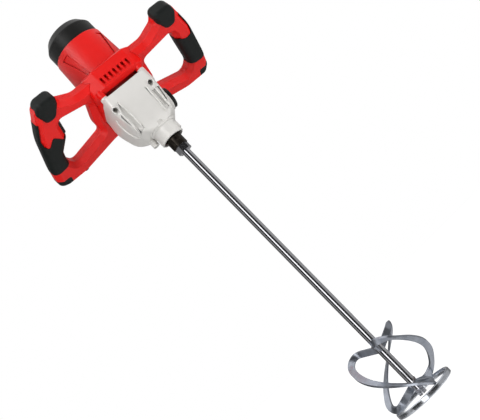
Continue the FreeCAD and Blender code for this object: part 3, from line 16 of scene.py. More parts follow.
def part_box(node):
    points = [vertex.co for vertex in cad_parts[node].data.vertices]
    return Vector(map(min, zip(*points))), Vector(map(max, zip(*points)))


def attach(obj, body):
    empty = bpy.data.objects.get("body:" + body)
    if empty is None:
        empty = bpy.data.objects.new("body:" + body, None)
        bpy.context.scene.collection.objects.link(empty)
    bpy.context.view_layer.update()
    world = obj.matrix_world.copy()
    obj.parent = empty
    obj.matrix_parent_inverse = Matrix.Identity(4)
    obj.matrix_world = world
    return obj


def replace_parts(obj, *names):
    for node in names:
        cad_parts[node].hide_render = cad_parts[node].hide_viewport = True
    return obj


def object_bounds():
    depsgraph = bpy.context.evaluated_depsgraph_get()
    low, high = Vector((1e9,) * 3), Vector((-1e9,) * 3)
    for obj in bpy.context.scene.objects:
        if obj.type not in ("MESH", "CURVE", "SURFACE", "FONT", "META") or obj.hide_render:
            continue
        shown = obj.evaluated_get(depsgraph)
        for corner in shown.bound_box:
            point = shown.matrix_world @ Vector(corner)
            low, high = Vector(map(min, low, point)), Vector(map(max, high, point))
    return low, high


bl_info = {
    "name": "Mixing drill finishes",
    "version": (1, 0, 0),
    "blender": (4, 5, 0),
    "location": "View3D > Sidebar > Mixer",
    "description": "Surfaces, formed details and studio of a two-handed mixing drill",
    "category": "Object",
}

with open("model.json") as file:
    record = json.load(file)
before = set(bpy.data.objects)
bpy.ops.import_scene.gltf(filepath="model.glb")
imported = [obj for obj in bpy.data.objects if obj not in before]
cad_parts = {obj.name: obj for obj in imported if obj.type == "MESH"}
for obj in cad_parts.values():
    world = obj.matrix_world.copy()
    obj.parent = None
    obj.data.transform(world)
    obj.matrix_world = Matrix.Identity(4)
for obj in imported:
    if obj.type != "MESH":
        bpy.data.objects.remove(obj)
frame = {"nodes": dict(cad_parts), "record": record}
CAD_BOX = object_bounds()
BODIES = frame["record"]["behaviour"]["bodies"]
BODY_OF = {node: body for body, nodes in BODIES.items() for node in nodes}
SLOT_OF = {part["node"]: part["material_slot"] for part in frame["record"]["subparts"]}

MM = 0.001
FULL_TURN = 2 * np.pi

# Places that the solids share with this file
MOTOR_Y = 35 * MM
LOOP_TILT = math.radians(22)
LOOP_HEIGHT = 141 * MM
LOOP_FACE = 15 * MM
LOOP_SCREWS = ((84, -65), (146, -62), (141, 62), (92, 54))
CAP_SCREWS = (-29, 29)
BLADE_START = math.radians(128.5)
BLADE_TWIST = math.radians(164)
BLADE_HUB = -464 * MM
BLADE_FOOT = -538 * MM
BLADE_COUNT = 3
ROD_R = 7 * MM
VENT_MIDDLE = 142 * MM
VENT_HALF = 11 * MM

# Reach within which corners merge, and the angle past which a new piece's edge stays sharp
CAD_MERGE = 1e-6
GRID_MERGE = 1e-7
SHARP_ANGLE = math.radians(40)

# Shell screw's rows from the inside out: share of a radius, millimetres of height, lobed or not
SCREW_SIDES = 72
SCREW_SUNK = 0.6 * MM
SCREW_HEIGHT = 2.6 * MM
SOCKET_LOBES = 6
SOCKET_SWELL = 0.16
SOCKET_ROWS = ((0.0, 0.9, 0), (0.9, 0.9, 1), (1.0, 1.1, 1), (1.0, 2.45, 1), (1.08, 2.6, 1))
RIM_ROWS = ((0.72, 2.6), (0.9, 2.5), (0.98, 2.25), (1.0, 1.9), (1.0, 0.0), (0.0, 0.0))

# Weld beads: points along and round one, half girths, ripple, lean, and rise over a bar's end
WELD_GRID = (33, 20)
WELD_OUT = 2.2 * MM
WELD_SIDE = 2.6 * MM
WELD_RIPPLE = 0.08
WELD_RIPPLES = 22
WELD_LEAN = 0.9
WELD_RISE = 6 * MM

# Ribs on the case's skin, in millimetres: left flank, two by the left panel, two on the right
CASE_RIBS = (
    (
        (-50.2, -13.0, 82.0),
        (-49.3, -2.1, 71.1),
        (-47.4, 3.5, 61.7),
        (-44.1, 4.4, 47.3),
        (-39.3, 0.5, 36.0),
    ),
    (
        (-32.4, -32.4, 95.0),
        (-31.4, -34.0, 80.0),
        (-30.4, -33.7, 64.5),
        (-30.6, -31.9, 49.5),
        (-31.6, -28.8, 37.5),
    ),
    ((-41.6, -33.4, 76.0), (-41.0, -32.6, 61.5), (-40.6, -28.6, 48.6), (-40.0, -17.0, 40.4)),
    ((20.0, -33.6, 86.5), (18.0, -33.8, 67.7), (17.0, -31.8, 49.1), (17.4, -27.2, 33.0)),
    ((28.4, -34.1, 76.0), (27.6, -33.4, 60.0), (27.4, -29.2, 42.5), (30.6, -15.0, 36.2)),
)

# Points along a rib, the power that ends it, the middle that it faces away from, a tube's sides
RIB_ROWS = 61
RIB_END = 8
RIB_MIDDLE_Y = 20 * MM
TUBE_SIDES = 16

# Screw ways in the front of the case, in millimetres: the screw's head and the way's mouth
SCREW_WAYS = (
    ((-41.0, -17.0, 101.0), (-43.5, -33.0, 86.0)),
    ((37.0, -17.0, 101.0), (29.0, -33.0, 86.0)),
)
SCREW_WAY_R = 3.9 * MM

# Corners on a way's rim: how far off its radius and how far along; a lip's points and offset
RIM_MISS = 0.05 * MM
RIM_REACH = (8 * MM, 40 * MM)
LIP_ROWS = 65
LIP_OUT = 1.2

# Looks of several materials, and the sizes of rubber's pebble and zinc's spangle in millimetres
ABS_IOR = 1.53
RUBBER_IOR = 1.5
PEBBLE_SIZE = 0.9
SPANGLE_SIZE = 5
BEVEL_SAMPLES = 6
# The next three paint shade deep in gaps: occlusion samples, the occlusion at full shade, and the
# darkest shade as a share of the colour
GAP_SHADE_SAMPLES = 8
GAP_SHADE_FULL = 0.08
GAP_SHADE_COLOUR = 0.08
SHEEN_SPREAD = 0.08

# Lines on the cap: turn or height, and half width
CAP_SEAM = (math.radians(-136), 0.014)
CAP_LEDGE = (257.5 * MM, 0.35 * MM)
CAP_FOOT = (240.5 * MM, 0.4 * MM)
SEAM_BLACK = (0.002, 0.002, 0.002, 1)

# Camera: its angles, its aim, and the photo's focal length, scale and offset in pixels
CAMERA_TURN = math.radians(14.6)
CAMERA_RISE = math.radians(9.5)
CAMERA_ROLL = math.radians(44.46)
CAMERA_AIM_Z = -160.3 * MM
CAMERA_LENS = 60
CAMERA_SENSOR = 36
FOCUS_PX = 800
PX_PER_MM = 0.63
ASIDE_PX = 2.6

# Floor and world: how far the floor reaches and lies below the part, its paper and their brightness
FLOOR_REACH = 30
FLOOR_DROP = 0.6
FLOOR_PAPER = "F4F4F4"
FLOOR_GLOW = 0.86
WORLD_LIGHT = 0.24
WORLD_WHITE = 1.0

# Soft lamps: name, place, target, width, height, power, and whether mirrors show them
LAMPS = (
    ("strip_lamp", (-0.1, -1.9, 0.0), (0, 0, 0), 0.42, 2.6, 6.5, False),
    ("key_lamp", (-1.0, -1.1, 1.3), (0, 0, 0.05), 0.7, 0.7, 7, True),
    ("front_lamp", (-1.2, -1.3, 1.1), (0, 0, 0), 1.2, 1.2, 4, False),
    ("right_lamp", (1.6, -1.2, -0.1), (0, 0, -0.1), 1.2, 1.4, 30, False),
    ("left_lamp", (-1.7, -0.8, -0.5), (0, 0, 0), 1.2, 1.4, 19, False),
    ("top_lamp", (0.3, 0.4, 1.7), (0, 0, 0.1), 1.2, 1.2, 10, False),
)

# Studio cards round the set: degrees from straight in front towards the right, and brightness
RING_REACH = 2.7
RING_HEIGHTS = (-2.2, 1.6)
RING_COLUMNS = 181
STRIP_GLOW = 2.2
STUDIO_CARDS = (
    (-179, 0.4),
    (-150, 0.12),
    (-112, 0.05),
    (-95, 0.4),
    (-86, 0.4),
    (-76, 0.02),
    (-36, 0.02),
    (-33, STRIP_GLOW),
    (-14, STRIP_GLOW),
    (-11, 0.02),
    (34, 0.02),
    (46, 0.4),
    (110, 0.4),
    (140, 0.1),
    (179, 0.4),
)


def linear(code):
    """Linear colour of an sRGB hex code."""
    channels = np.array([int(code[i : i + 2], 16) for i in (0, 2, 4)]) / 255
    low, high = channels / 12.92, ((channels + 0.055) / 1.055) ** 2.4
    return tuple(np.where(channels <= 0.04045, low, high))


def per_metre(millimetres):
    """Texture scale that gives features of about this size."""
    return 1 / (millimetres * MM)


class MixerColours(bpy.types.PropertyGroup):
    """Colours of the outside parts and of ground steel."""

    red: bpy.props.FloatVectorProperty(
        name="Housing red",
        description="Moulded housing and hand loops",
        subtype="COLOR",
        default=linear("D40E09"),
    )
    rubber: bpy.props.FloatVectorProperty(
        name="Grip rubber",
        description="Soft grips, bumpers and pads",
        subtype="COLOR",
        default=linear("121514"),
    )
    cap: bpy.props.FloatVectorProperty(
        name="Cap black",
        description="Moulded motor cap and small controls",
        subtype="COLOR",
        default=linear("0C0C0B"),
    )
    casting: bpy.props.FloatVectorProperty(
        name="Casting silver",
        description="Lacquered gear case",
        subtype="COLOR",
        default=linear("D2D0CC"),
    )
    spindle: bpy.props.FloatVectorProperty(
        name="Spindle black",
        description="Black oxide on the spindle",
        subtype="COLOR",
        default=linear("4A443D"),
    )
    plating: bpy.props.FloatVectorProperty(
        name="Rod plating",
        description="Bright plating of the stirrer's rod",
        subtype="COLOR",
        default=linear("D2D2D6"),
    )
    zinc: bpy.props.FloatVectorProperty(
        name="Stirrer zinc",
        description="Zinc on the stirrer's bars",
        subtype="COLOR",
        default=linear("AEB3BD"),
    )
    # The ring's zinc is paler than the bars' zinc, which paints brightness onto the ring
    ring: bpy.props.FloatVectorProperty(
        name="Ring zinc",
        description="Zinc rubbed bright on the stirrer's ring",
        subtype="COLOR",
        default=linear("DFE3EA"),
    )
    weld: bpy.props.FloatVectorProperty(
        name="Weld grey",
        description="Weld metal on the stirrer",
        subtype="COLOR",
        default=linear("7C7B7C"),
    )
    straw: bpy.props.FloatVectorProperty(
        name="Weld straw",
        description="Straw heat colour on the welds",
        subtype="COLOR",
        default=linear("6B5F52"),
    )
    blue: bpy.props.FloatVectorProperty(
        name="Weld blue",
        description="Blue heat colour on the welds",
        subtype="COLOR",
        default=linear("8E949F"),
    )
    ground: bpy.props.FloatVectorProperty(
        name="Ground steel",
        description="Screws, shafts, gears and bearings",
        subtype="COLOR",
        default=linear("9A9A9C"),
    )


class MixerSizes(bpy.types.PropertyGroup):
    """Sizes of the details that this file forms."""

    screw_head: bpy.props.FloatProperty(
        name="Screw head radius",
        description="Head of a shell screw",
        default=3.6 * MM,
        unit="LENGTH",
    )
    socket: bpy.props.FloatProperty(
        name="Screw socket radius",
        description="Lobed socket in a shell screw",
        default=1.9 * MM,
        unit="LENGTH",
    )
    weld: bpy.props.FloatProperty(
        name="Weld length",
        description="Bead along the root of a stirrer bar",
        default=13 * MM,
        unit="LENGTH",
    )
    rib: bpy.props.FloatProperty(
        name="Rib radius",
        description="Round ribs on the front of the case",
        default=1.9 * MM,
        unit="LENGTH",
    )
    lip: bpy.props.FloatProperty(
        name="Lip radius",
        description="Raised lips round the screw ways of the case",
        default=1.2 * MM,
        unit="LENGTH",
    )
    smooth_angle: bpy.props.FloatProperty(
        name="Smooth angle",
        description="Edges flatter than this shade smooth",
        default=math.radians(28),
        subtype="ANGLE",
    )


# Materials


def add(tree, kind, inputs=None, **settings):
    """New node with its settings, and with values or links on its inputs."""
    node = tree.nodes.new(kind)
    for key, value in settings.items():
        setattr(node, key, value)
    for key, value in (inputs or {}).items():
        if isinstance(value, bpy.types.NodeSocket):
            tree.links.new(value, node.inputs[key])
        else:
            node.inputs[key].default_value = value
    return node


def surface(name, colour, sockets):
    """New material with one surface shader: the material, its tree, shader and place socket."""
    material = bpy.data.materials.new(name)
    material.use_nodes = True
    tree = material.node_tree
    tree.nodes.clear()
    shader = add(tree, "ShaderNodeBsdfPrincipled", {"Base Color": (*colour, 1), **sockets})
    add(tree, "ShaderNodeOutputMaterial", {"Surface": shader.outputs["BSDF"]})
    place = add(tree, "ShaderNodeTexCoord").outputs["Object"]
    material.diffuse_color = (*colour, 1)
    return material, tree, shader, place


def grain(tree, place, size, detail=2.0):
    """Even noise of a given size in millimetres, as a factor socket."""
    inputs = {"Vector": place, "Scale": per_metre(size), "Detail": detail}
    return add(tree, "ShaderNodeTexNoise", inputs).outputs["Fac"]


def drawn_lines(tree, place, width, length):
    """Noise stretched along Z into drawing lines, as a factor socket."""
    scale = (per_metre(width), per_metre(width), per_metre(length))
    stretched = add(tree, "ShaderNodeMapping", {"Vector": place, "Scale": scale}).outputs["Vector"]
    inputs = {"Vector": stretched, "Scale": 1.0, "Detail": 3.0}
    return add(tree, "ShaderNodeTexNoise", inputs).outputs["Fac"]


def mottled(tree, shader, colour, amount, factor):
    """Links a colour that wanders between a darker and a lighter shade of itself."""
    base = np.array(colour[:3])
    dark, light = base * (1 - amount), np.clip(base * (1 + amount), 0, 1)
    shades = {"Factor": factor, "A": (*dark, 1), "B": (*light, 1)}
    mix = add(tree, "ShaderNodeMix", shades, data_type="RGBA")
    tree.links.new(mix.outputs["Result"], shader.inputs["Base Color"])


def glossed(tree, shader, factor, low, high):
    """Links a roughness that wanders between two values."""
    limits = {"Value": factor, "To Min": low, "To Max": high}
    uneven = add(tree, "ShaderNodeMapRange", limits)
    tree.links.new(uneven.outputs["Result"], shader.inputs["Roughness"])


def eased(tree, shader, radius, height, strength, distance):
    """Links softly rounded edges with a bump on top, the radius and the bump in millimetres."""
    edges = add(tree, "ShaderNodeBevel", {"Radius": radius * MM}, samples=BEVEL_SAMPLES)
    inputs = {"Height": height, "Strength": strength, "Distance": distance * MM}
    bump = add(tree, "ShaderNodeBump", {**inputs, "Normal": edges.outputs["Normal"]})
    tree.links.new(bump.outputs["Normal"], shader.inputs["Normal"])


def line_mask(tree, value, centre, half):
    """One on a thin line where a value is within half of a centre, and nought elsewhere."""
    offset = add(tree, "ShaderNodeMath", {0: value, 1: centre}, operation="SUBTRACT").outputs[0]
    distance = add(tree, "ShaderNodeMath", {0: offset}, operation="ABSOLUTE").outputs[0]
    return add(tree, "ShaderNodeMath", {0: distance, 1: half}, operation="LESS_THAN").outputs[0]


def paint_gap_shade(tree, shader, colour, reach, clear, unshaded=None):
    """Paints shade into a linked colour deep in gaps, where light falls short, save where a mask is
    one.
    """
    gaps = add(tree, "ShaderNodeAmbientOcclusion", {"Distance": reach * MM}, samples=GAP_SHADE_SAMPLES)
    limits = {"Value": gaps.outputs["AO"], "From Min": GAP_SHADE_FULL, "From Max": clear}
    shaded = add(tree, "ShaderNodeMapRange", limits, interpolation_type="SMOOTHSTEP")
    lit_share = shaded.outputs["Result"]
    if unshaded is not None:
        lit_share = add(tree, "ShaderNodeMath", {0: lit_share, 1: unshaded}, operation="MAXIMUM").outputs[0]
    linked = shader.inputs["Base Color"].links[0].from_socket
    shade_colour = (*(np.array(colour[:3]) * GAP_SHADE_COLOUR), 1)
    mix = add(tree, "ShaderNodeMix", {"Factor": lit_share, "A": shade_colour, "B": linked}, data_type="RGBA")
    tree.links.new(mix.outputs["Result"], shader.inputs["Base Color"])


def moulded_red_abs(colours):
    """Injection-moulded ABS: even strong red, fine spark-eroded grain, soft edges, painted shade in
    gaps.
    """
    sockets = {"IOR": ABS_IOR, "Specular IOR Level": 0.35}
    material, tree, shader, place = surface("moulded_red_abs", colours.red, sockets)
    mottled(tree, shader, colours.red, amount=0.07, factor=grain(tree, place, size=26))
    # The belt with the vents is left free of the painted shade
    height = add(tree, "ShaderNodeSeparateXYZ", {"Vector": place}).outputs["Z"]
    belt = line_mask(tree, height, VENT_MIDDLE, VENT_HALF)
    # Shade painted into the colour deep in gaps, such as the gap under the belt
    paint_gap_shade(tree, shader, colours.red, reach=22, clear=0.5, unshaded=belt)
    glossed(tree, shader, grain(tree, place, size=3), low=0.3, high=0.42)
    # The grain is about 0.2 mm on the real part and is drawn coarser here so that it shows
    sparks = grain(tree, place, size=0.7, detail=1.0)
    eased(tree, shader, radius=1.1, height=sparks, strength=0.12, distance=0.05)
    return material


def moulded_black_abs(colours):
    """Injection-moulded black ABS: satin, a little lighter where the mould was polished."""
    sockets = {"IOR": ABS_IOR, "Specular IOR Level": 0.3}
    material, tree, shader, place = surface("moulded_black_abs", colours.cap, sockets)
    mottled(tree, shader, colours.cap, amount=0.12, factor=grain(tree, place, size=14))
    glossed(tree, shader, grain(tree, place, size=2.5), low=0.34, high=0.48)
    # This grain too is drawn coarser than the real one
    sparks = grain(tree, place, size=0.6, detail=1.0)
    eased(tree, shader, radius=0.7, height=sparks, strength=0.15, distance=0.05)
    return material


def capped_black_abs(colours):
    """The motor cap's ABS: satin black, with an upright seam and two parting lines round it."""
    sockets = {"IOR": ABS_IOR, "Specular IOR Level": 0.22}
    material, tree, shader, place = surface("capped_black_abs", colours.cap, sockets)
    axes = add(tree, "ShaderNodeSeparateXYZ", {"Vector": place}).outputs
    run = add(tree, "ShaderNodeMath", {0: axes["Y"], 1: MOTOR_Y}, operation="SUBTRACT").outputs[0]
    turn = add(tree, "ShaderNodeMath", {0: run, 1: axes["X"]}, operation="ARCTAN2").outputs[0]
    lines = line_mask(tree, turn, *CAP_SEAM)
    for parting in (CAP_LEDGE, CAP_FOOT):
        either = {0: lines, 1: line_mask(tree, axes["Z"], *parting)}
        lines = add(tree, "ShaderNodeMath", either, operation="MAXIMUM").outputs[0]
    mottled(tree, shader, colours.cap, amount=0.12, factor=grain(tree, place, size=14))
    body = shader.inputs["Base Color"].links[0].from_socket
    layers = {"Factor": lines, "A": body, "B": SEAM_BLACK}
    seamed = add(tree, "ShaderNodeMix", layers, data_type="RGBA")
    tree.links.new(seamed.outputs["Result"], shader.inputs["Base Color"])
    glossed(tree, shader, grain(tree, place, size=2.5), low=0.34, high=0.48)
    sunk = add(tree, "ShaderNodeMath", {0: 1.0, 1: lines}, operation="SUBTRACT").outputs[0]
    eased(tree, shader, radius=1.2, height=sunk, strength=0.6, distance=0.4)
    return material


def soft_rubber(colours):
    """Thermoplastic rubber moulded over the shell: charcoal, dull, with a fine leathery pebble."""
    sockets = {"IOR": RUBBER_IOR, "Specular IOR Level": 0.22}
    material, tree, shader, place = surface("soft_rubber", colours.rubber, sockets)
    mottled(tree, shader, colours.rubber, amount=0.14, factor=grain(tree, place, size=9))
    glossed(tree, shader, grain(tree, place, size=4), low=0.46, high=0.6)
    cells = {"Vector": place, "Scale": per_metre(PEBBLE_SIZE)}
    pebble = add(tree, "ShaderNodeTexVoronoi", cells).outputs["Distance"]
    eased(tree, shader, radius=0.8, height=pebble, strength=0.25, distance=0.12)
    return material


def lacquered_casting(colours):
    """Die-cast aluminium under silver lacquer: pale, softly bright, with a faint orange peel."""
    sockets = {"Metallic": 0.2}
    material, tree, shader, place = surface("lacquered_casting", colours.casting, sockets)
    mottled(tree, shader, colours.casting, amount=0.04, factor=grain(tree, place, size=18))
    # Shade painted into the colour deep in gaps and in the screw ways
    paint_gap_shade(tree, shader, colours.casting, reach=6, clear=0.27)
    glossed(tree, shader, grain(tree, place, size=5), low=0.34, high=0.46)
    peel = grain(tree, place, size=1.6, detail=3.0)
    eased(tree, shader, radius=2.2, height=peel, strength=0.16, distance=0.18)
    return material


def blackened_steel(colours):
    """Turned steel under black oxide: brownish black, rubbed paler in patches."""
    sockets = {"Metallic": 0.9}
    material, tree, shader, place = surface("blackened_steel", colours.spindle, sockets)
    patches = grain(tree, place, size=6, detail=5.0)
    limits = {"Value": patches, "From Min": 0.55, "From Max": 0.8}
    rubbed = add(tree, "ShaderNodeMapRange", limits).outputs["Result"]
    mottled(tree, shader, colours.spindle, amount=0.45, factor=rubbed)
    glossed(tree, shader, grain(tree, place, size=3), low=0.24, high=0.42)
    pits = grain(tree, place, size=0.8)
    eased(tree, shader, radius=0.6, height=pits, strength=0.1, distance=0.05)
    return material


def bright_plating(colours):
    """Drawn steel rod with bright plating: mirror-like, with faint drawing lines along it."""
    sockets = {"Metallic": 1.0}
    material, tree, shader, place = surface("bright_plating", colours.plating, sockets)
    lines = drawn_lines(tree, place, width=1.2, length=400)
    mottled(tree, shader, colours.plating, amount=0.06, factor=lines)
    glossed(tree, shader, lines, low=0.11, high=0.17)
    # Its edges aren't eased, because that speckles the reflection along a narrow bright rod
    inputs = {"Height": lines, "Strength": 0.02, "Distance": 0.01 * MM}
    bump = add(tree, "ShaderNodeBump", inputs)
    tree.links.new(bump.outputs["Normal"], shader.inputs["Normal"])
    return material


def spangled_zinc(name, colour, low, high):
    """Zinc with a cloudy spangle, in a colour and between two values of roughness."""
    material, tree, shader, place = surface(name, colour, {"Metallic": 1.0})
    inputs = {"Vector": place, "Scale": per_metre(SPANGLE_SIZE)}
    cells = add(tree, "ShaderNodeTexVoronoi", inputs, feature="SMOOTH_F1").outputs["Distance"]
    clouds = {0: cells, 1: grain(tree, place, size=9, detail=4.0)}
    cloudy = add(tree, "ShaderNodeMath", clouds, operation="MULTIPLY").outputs[0]
    limits = {"Value": cloudy, "To Min": 0.1, "To Max": 1.6}
    spangle = add(tree, "ShaderNodeMapRange", limits).outputs["Result"]
    mottled(tree, shader, colour, amount=0.16, factor=spangle)
    glossed(tree, shader, grain(tree, place, size=2.2), low, high)
    waves = grain(tree, place, size=1.8, detail=3.0)
    eased(tree, shader, radius=0.7, height=waves, strength=0.14, distance=0.12)
    return material


def zinc_plating(colours):
    """Zinc-plated flat bar: cool grey with cloudy spangle and a dull, slightly wavy shine."""
    return spangled_zinc("zinc_plating", colours.zinc, low=0.24, high=0.36)


def rubbed_zinc(colours):
    """The ring's zinc: paler than the bars' to paint on brightness, and nearly mirror-like."""
    return spangled_zinc("rubbed_zinc", colours.ring, low=0.14, high=0.22)


def welded_steel(colours):
    """Weld metal: darker than the bar, rippled and touched with straw and blue heat colours."""
    material, tree, shader, place = surface("welded_steel", colours.weld, {"Metallic": 1.0})
    heat = grain(tree, place, size=4, detail=4.0)
    tints = {"Factor": heat, "A": (*colours.straw, 1), "B": (*colours.blue, 1)}
    tinted = add(tree, "ShaderNodeMix", tints, data_type="RGBA")
    tree.links.new(tinted.outputs["Result"], shader.inputs["Base Color"])
    glossed(tree, shader, grain(tree, place, size=1.2), low=0.3, high=0.55)
    ripples = grain(tree, place, size=0.9)
    eased(tree, shader, radius=0.3, height=ripples, strength=0.3, distance=0.2)
    return material


def ground_steel(colours):
    """Hardened and ground steel: neutral grey with a fine even scratch."""
    material, tree, shader, place = surface("ground_steel", colours.ground, {"Metallic": 1.0})
    lines = drawn_lines(tree, place, width=6, length=0.5)
    mottled(tree, shader, colours.ground, amount=0.12, factor=lines)
    glossed(tree, shader, lines, low=0.22, high=0.4)
    eased(tree, shader, radius=0.3, height=lines, strength=0.08, distance=0.04)
    return material


def plain_finish(name, code, metallic, rough, size):
    """Finish of an inside part: one colour with fine mottling and an uneven sheen."""
    colour = linear(code)
    material, tree, shader, place = surface(name, colour, {"Metallic": metallic})
    mottled(tree, shader, colour, amount=0.15, factor=grain(tree, place, size, detail=3.0))
    sheen = grain(tree, place, size / 3)
    glossed(tree, shader, sheen, low=rough - SHEEN_SPREAD, high=rough + SHEEN_SPREAD)
    fine = grain(tree, place, size / 4)
    eased(tree, shader, radius=0.3, height=fine, strength=0.1, distance=0.06)
    return material


# Finishes by the record's slots, and two that only this file uses: the ring's and the welds'
OUTSIDE_FINISHES = {
    "red_plastic": moulded_red_abs,
    "cap_plastic": capped_black_abs,
    "black_plastic": moulded_black_abs,
    "grip_rubber": soft_rubber,
    "cast_aluminium": lacquered_casting,
    "blackened_steel": blackened_steel,
    "bright_steel": bright_plating,
    "zinc_steel": zinc_plating,
    "zinc_ring": rubbed_zinc,
    "hard_steel": ground_steel,
    "weld": welded_steel,
}

# Finishes of the inside parts: name, colour, metallic, roughness, millimetres of mottling
INSIDE_FINISHES = {
    "seal_rubber": ("moulded_nitrile", "1B1B1B", 0.0, 0.5, 2.0),
    "lamination_steel": ("varnished_lamination", "5C5C60", 0.8, 0.45, 1.5),
    "copper": ("enamelled_copper", "B4673A", 0.9, 0.35, 1.2),
    "carbon": ("pressed_carbon", "1E1E20", 0.1, 0.6, 1.0),
    "brass": ("stamped_brass", "C9A457", 1.0, 0.3, 3.0),
    "fan_plastic": ("moulded_nylon", "C4C4BC", 0.0, 0.45, 6.0),
}


def finish(slot):
    """The material of a slot, made once."""
    scene = bpy.context.scene
    made = scene.get("mixer_finishes", {})
    if slot in made:
        return bpy.data.materials[made[slot]]
    if slot in OUTSIDE_FINISHES:
        material = OUTSIDE_FINISHES[slot](scene.mixer_colours)
    else:
        material = plain_finish(*INSIDE_FINISHES[slot])
    scene["mixer_finishes"] = {**made, slot: material.name}
    return material


# Pieces


def coat(*nodes):
    """Gives CAD nodes the finish of their slot."""
    for name in nodes:
        obj = frame["nodes"][name]
        obj.data.materials.clear()
        obj.data.materials.append(finish(SLOT_OF[name]))


def place_piece(mesh, name, slot, body, material_slot=None):
    """Puts a finished mesh into the scene on a body, with its slot's finish or another."""
    obj = bpy.data.objects.new(name, mesh)
    bpy.context.scene.collection.objects.link(obj)
    mesh.materials.clear()
    mesh.materials.append(finish(material_slot or slot))
    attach(obj, body)
    return obj


def smoothed(*nodes, material_slot=None):
    """Stands a merged, smooth-shaded copy of each CAD node in its place."""
    for name in nodes:
        mesh = frame["nodes"][name].data.copy()
        if "custom_normal" in mesh.attributes:
            mesh.attributes.remove(mesh.attributes["custom_normal"])
        shape = bmesh.new()
        shape.from_mesh(mesh)
        bmesh.ops.remove_doubles(shape, verts=shape.verts, dist=CAD_MERGE)
        shape.to_mesh(mesh)
        shape.free()
        mesh.shade_smooth()
        mesh.set_sharp_from_angle(angle=bpy.context.scene.mixer_sizes.smooth_angle)
        obj = place_piece(mesh, f"{name}_surface", SLOT_OF[name], BODY_OF[name], material_slot)
        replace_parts(obj, name)


def grid_faces(rows, columns, wrap):
    """Quads of a grid of points in row order, closed along its columns where wrap is set."""
    steps = columns if wrap else columns - 1
    row, column = np.meshgrid(np.arange(rows - 1), np.arange(steps), indexing="ij")
    near, far = row * columns, (row + 1) * columns
    beside = (column + 1) % columns
    corners = (near + column, near + beside, far + beside, far + column)
    return np.stack(corners, axis=-1).reshape(-1, 4)


def surface_mesh(name, grids, wrap=True):
    """Mesh of several equal grids of points, shaped (grids, rows, columns, 3)."""
    grids = np.asarray(grids, dtype=float)
    count, rows, columns = grids.shape[:3]
    starts = np.arange(count) * rows * columns
    faces = (grid_faces(rows, columns, wrap)[None] + starts[:, None, None]).reshape(-1, 4)
    mesh = bpy.data.meshes.new(name)
    mesh.from_pydata(grids.reshape(-1, 3), [], faces.tolist())
    shape = bmesh.new()
    shape.from_mesh(mesh)
    bmesh.ops.remove_doubles(shape, verts=shape.verts, dist=GRID_MERGE)
    bmesh.ops.recalc_face_normals(shape, faces=shape.faces)
    shape.to_mesh(mesh)
    shape.free()
    mesh.shade_smooth()
    mesh.set_sharp_from_angle(angle=SHARP_ANGLE)
    return mesh


def circle(points):
    """Angles of points spaced evenly round a circle."""
    return np.linspace(0, FULL_TURN, points, endpoint=False)


def screw_head():
    """Points of a screw head over its underside, from the socket's floor out over the rim and down.

    The radius of a row is a share of the socket's or the head's. The socket's rows swell in six
    lobes with cos 6a.
    """
    sizes = bpy.context.scene.mixer_sizes
    angle = circle(SCREW_SIDES)
    share, height, lobed = np.array(SOCKET_ROWS).T[..., None]
    socket = share * sizes.socket * (1 + lobed * SOCKET_SWELL * np.cos(SOCKET_LOBES * angle))
    rim_share, rim_height = np.array(RIM_ROWS).T[..., None]
    rim = np.broadcast_to(rim_share * sizes.screw_head, (len(RIM_ROWS), SCREW_SIDES))
    radius = np.concatenate([socket, rim])
    rise = np.broadcast_to(np.concatenate([height, rim_height]) * MM, radius.shape)
    return np.stack([radius * np.cos(angle), radius * np.sin(angle), rise], axis=-1)


def tilted(points):
    """Points of the loops' own plan set at their height and tilt, turned about X."""
    x, t, n = points[..., 0], points[..., 1], points[..., 2] + LOOP_HEIGHT
    y = t * math.cos(LOOP_TILT) + n * math.sin(LOOP_TILT)
    z = -t * math.sin(LOOP_TILT) + n * math.cos(LOOP_TILT)
    return np.stack([x, y, z], axis=-1)


def weld_bead(turn, height, length):
    """Points of one weld: a leaning egg seated round the rod, its girth rippling along it with sin.

    Along it u runs end to end and the girth is sqrt(1 - u u); round it v makes the circle.
    """
    rows, sides = WELD_GRID
    along, around = np.meshgrid(np.linspace(-1, 1, rows), circle(sides), indexing="ij")
    ripple = 1 + WELD_RIPPLE * np.sin(along * WELD_RIPPLES)
    girth = np.sqrt(np.clip(1 - along**2, 0, 1)) * ripple
    out = ROD_R + WELD_OUT * girth * np.cos(around)
    run, across = along * length / 2, WELD_SIDE * girth * np.sin(around)
    side = run * math.sin(WELD_LEAN) + across * math.cos(WELD_LEAN)
    rise = run * math.cos(WELD_LEAN) - across * math.sin(WELD_LEAN)
    angle = turn + side / ROD_R
    return np.stack([out * np.cos(angle), out * np.sin(angle), height + rise], axis=-1)


def tube(line, ahead, out, girth):
    """Points of a tube: round each point of a line a circle of its girth, across the way ahead."""
    ahead = ahead / np.linalg.norm(ahead, axis=1, keepdims=True)
    aside = np.cross(ahead, out)
    aside /= np.linalg.norm(aside, axis=1, keepdims=True)
    out = np.cross(aside, ahead)
    angle = circle(TUBE_SIDES)[None, :, None]
    return line[:, None] + girth * (np.cos(angle) * out[:, None] + np.sin(angle) * aside[:, None])


def rib_bead(places, radius):
    """Points of a rib: a tube along a cubic through its places.

    The tube's girth is the rib's radius, and falls to nought at both ends with the root of 1 - u to
    the 8th.
    """
    places = np.array(places) * MM
    knots = np.linspace(-1, 1, len(places))
    u = np.linspace(-1, 1, RIB_ROWS)
    cubics = [np.polyfit(knots, places[:, axis], 3) for axis in range(3)]
    line = np.stack([np.polyval(cubic, u) for cubic in cubics], axis=-1)
    out = line * np.array([1, 1, 0]) - np.array([0, RIB_MIDDLE_Y, 0])
    girth = (radius * np.sqrt(1 - u**RIB_END))[:, None, None]
    return tube(line, np.gradient(line, axis=0), out, girth)


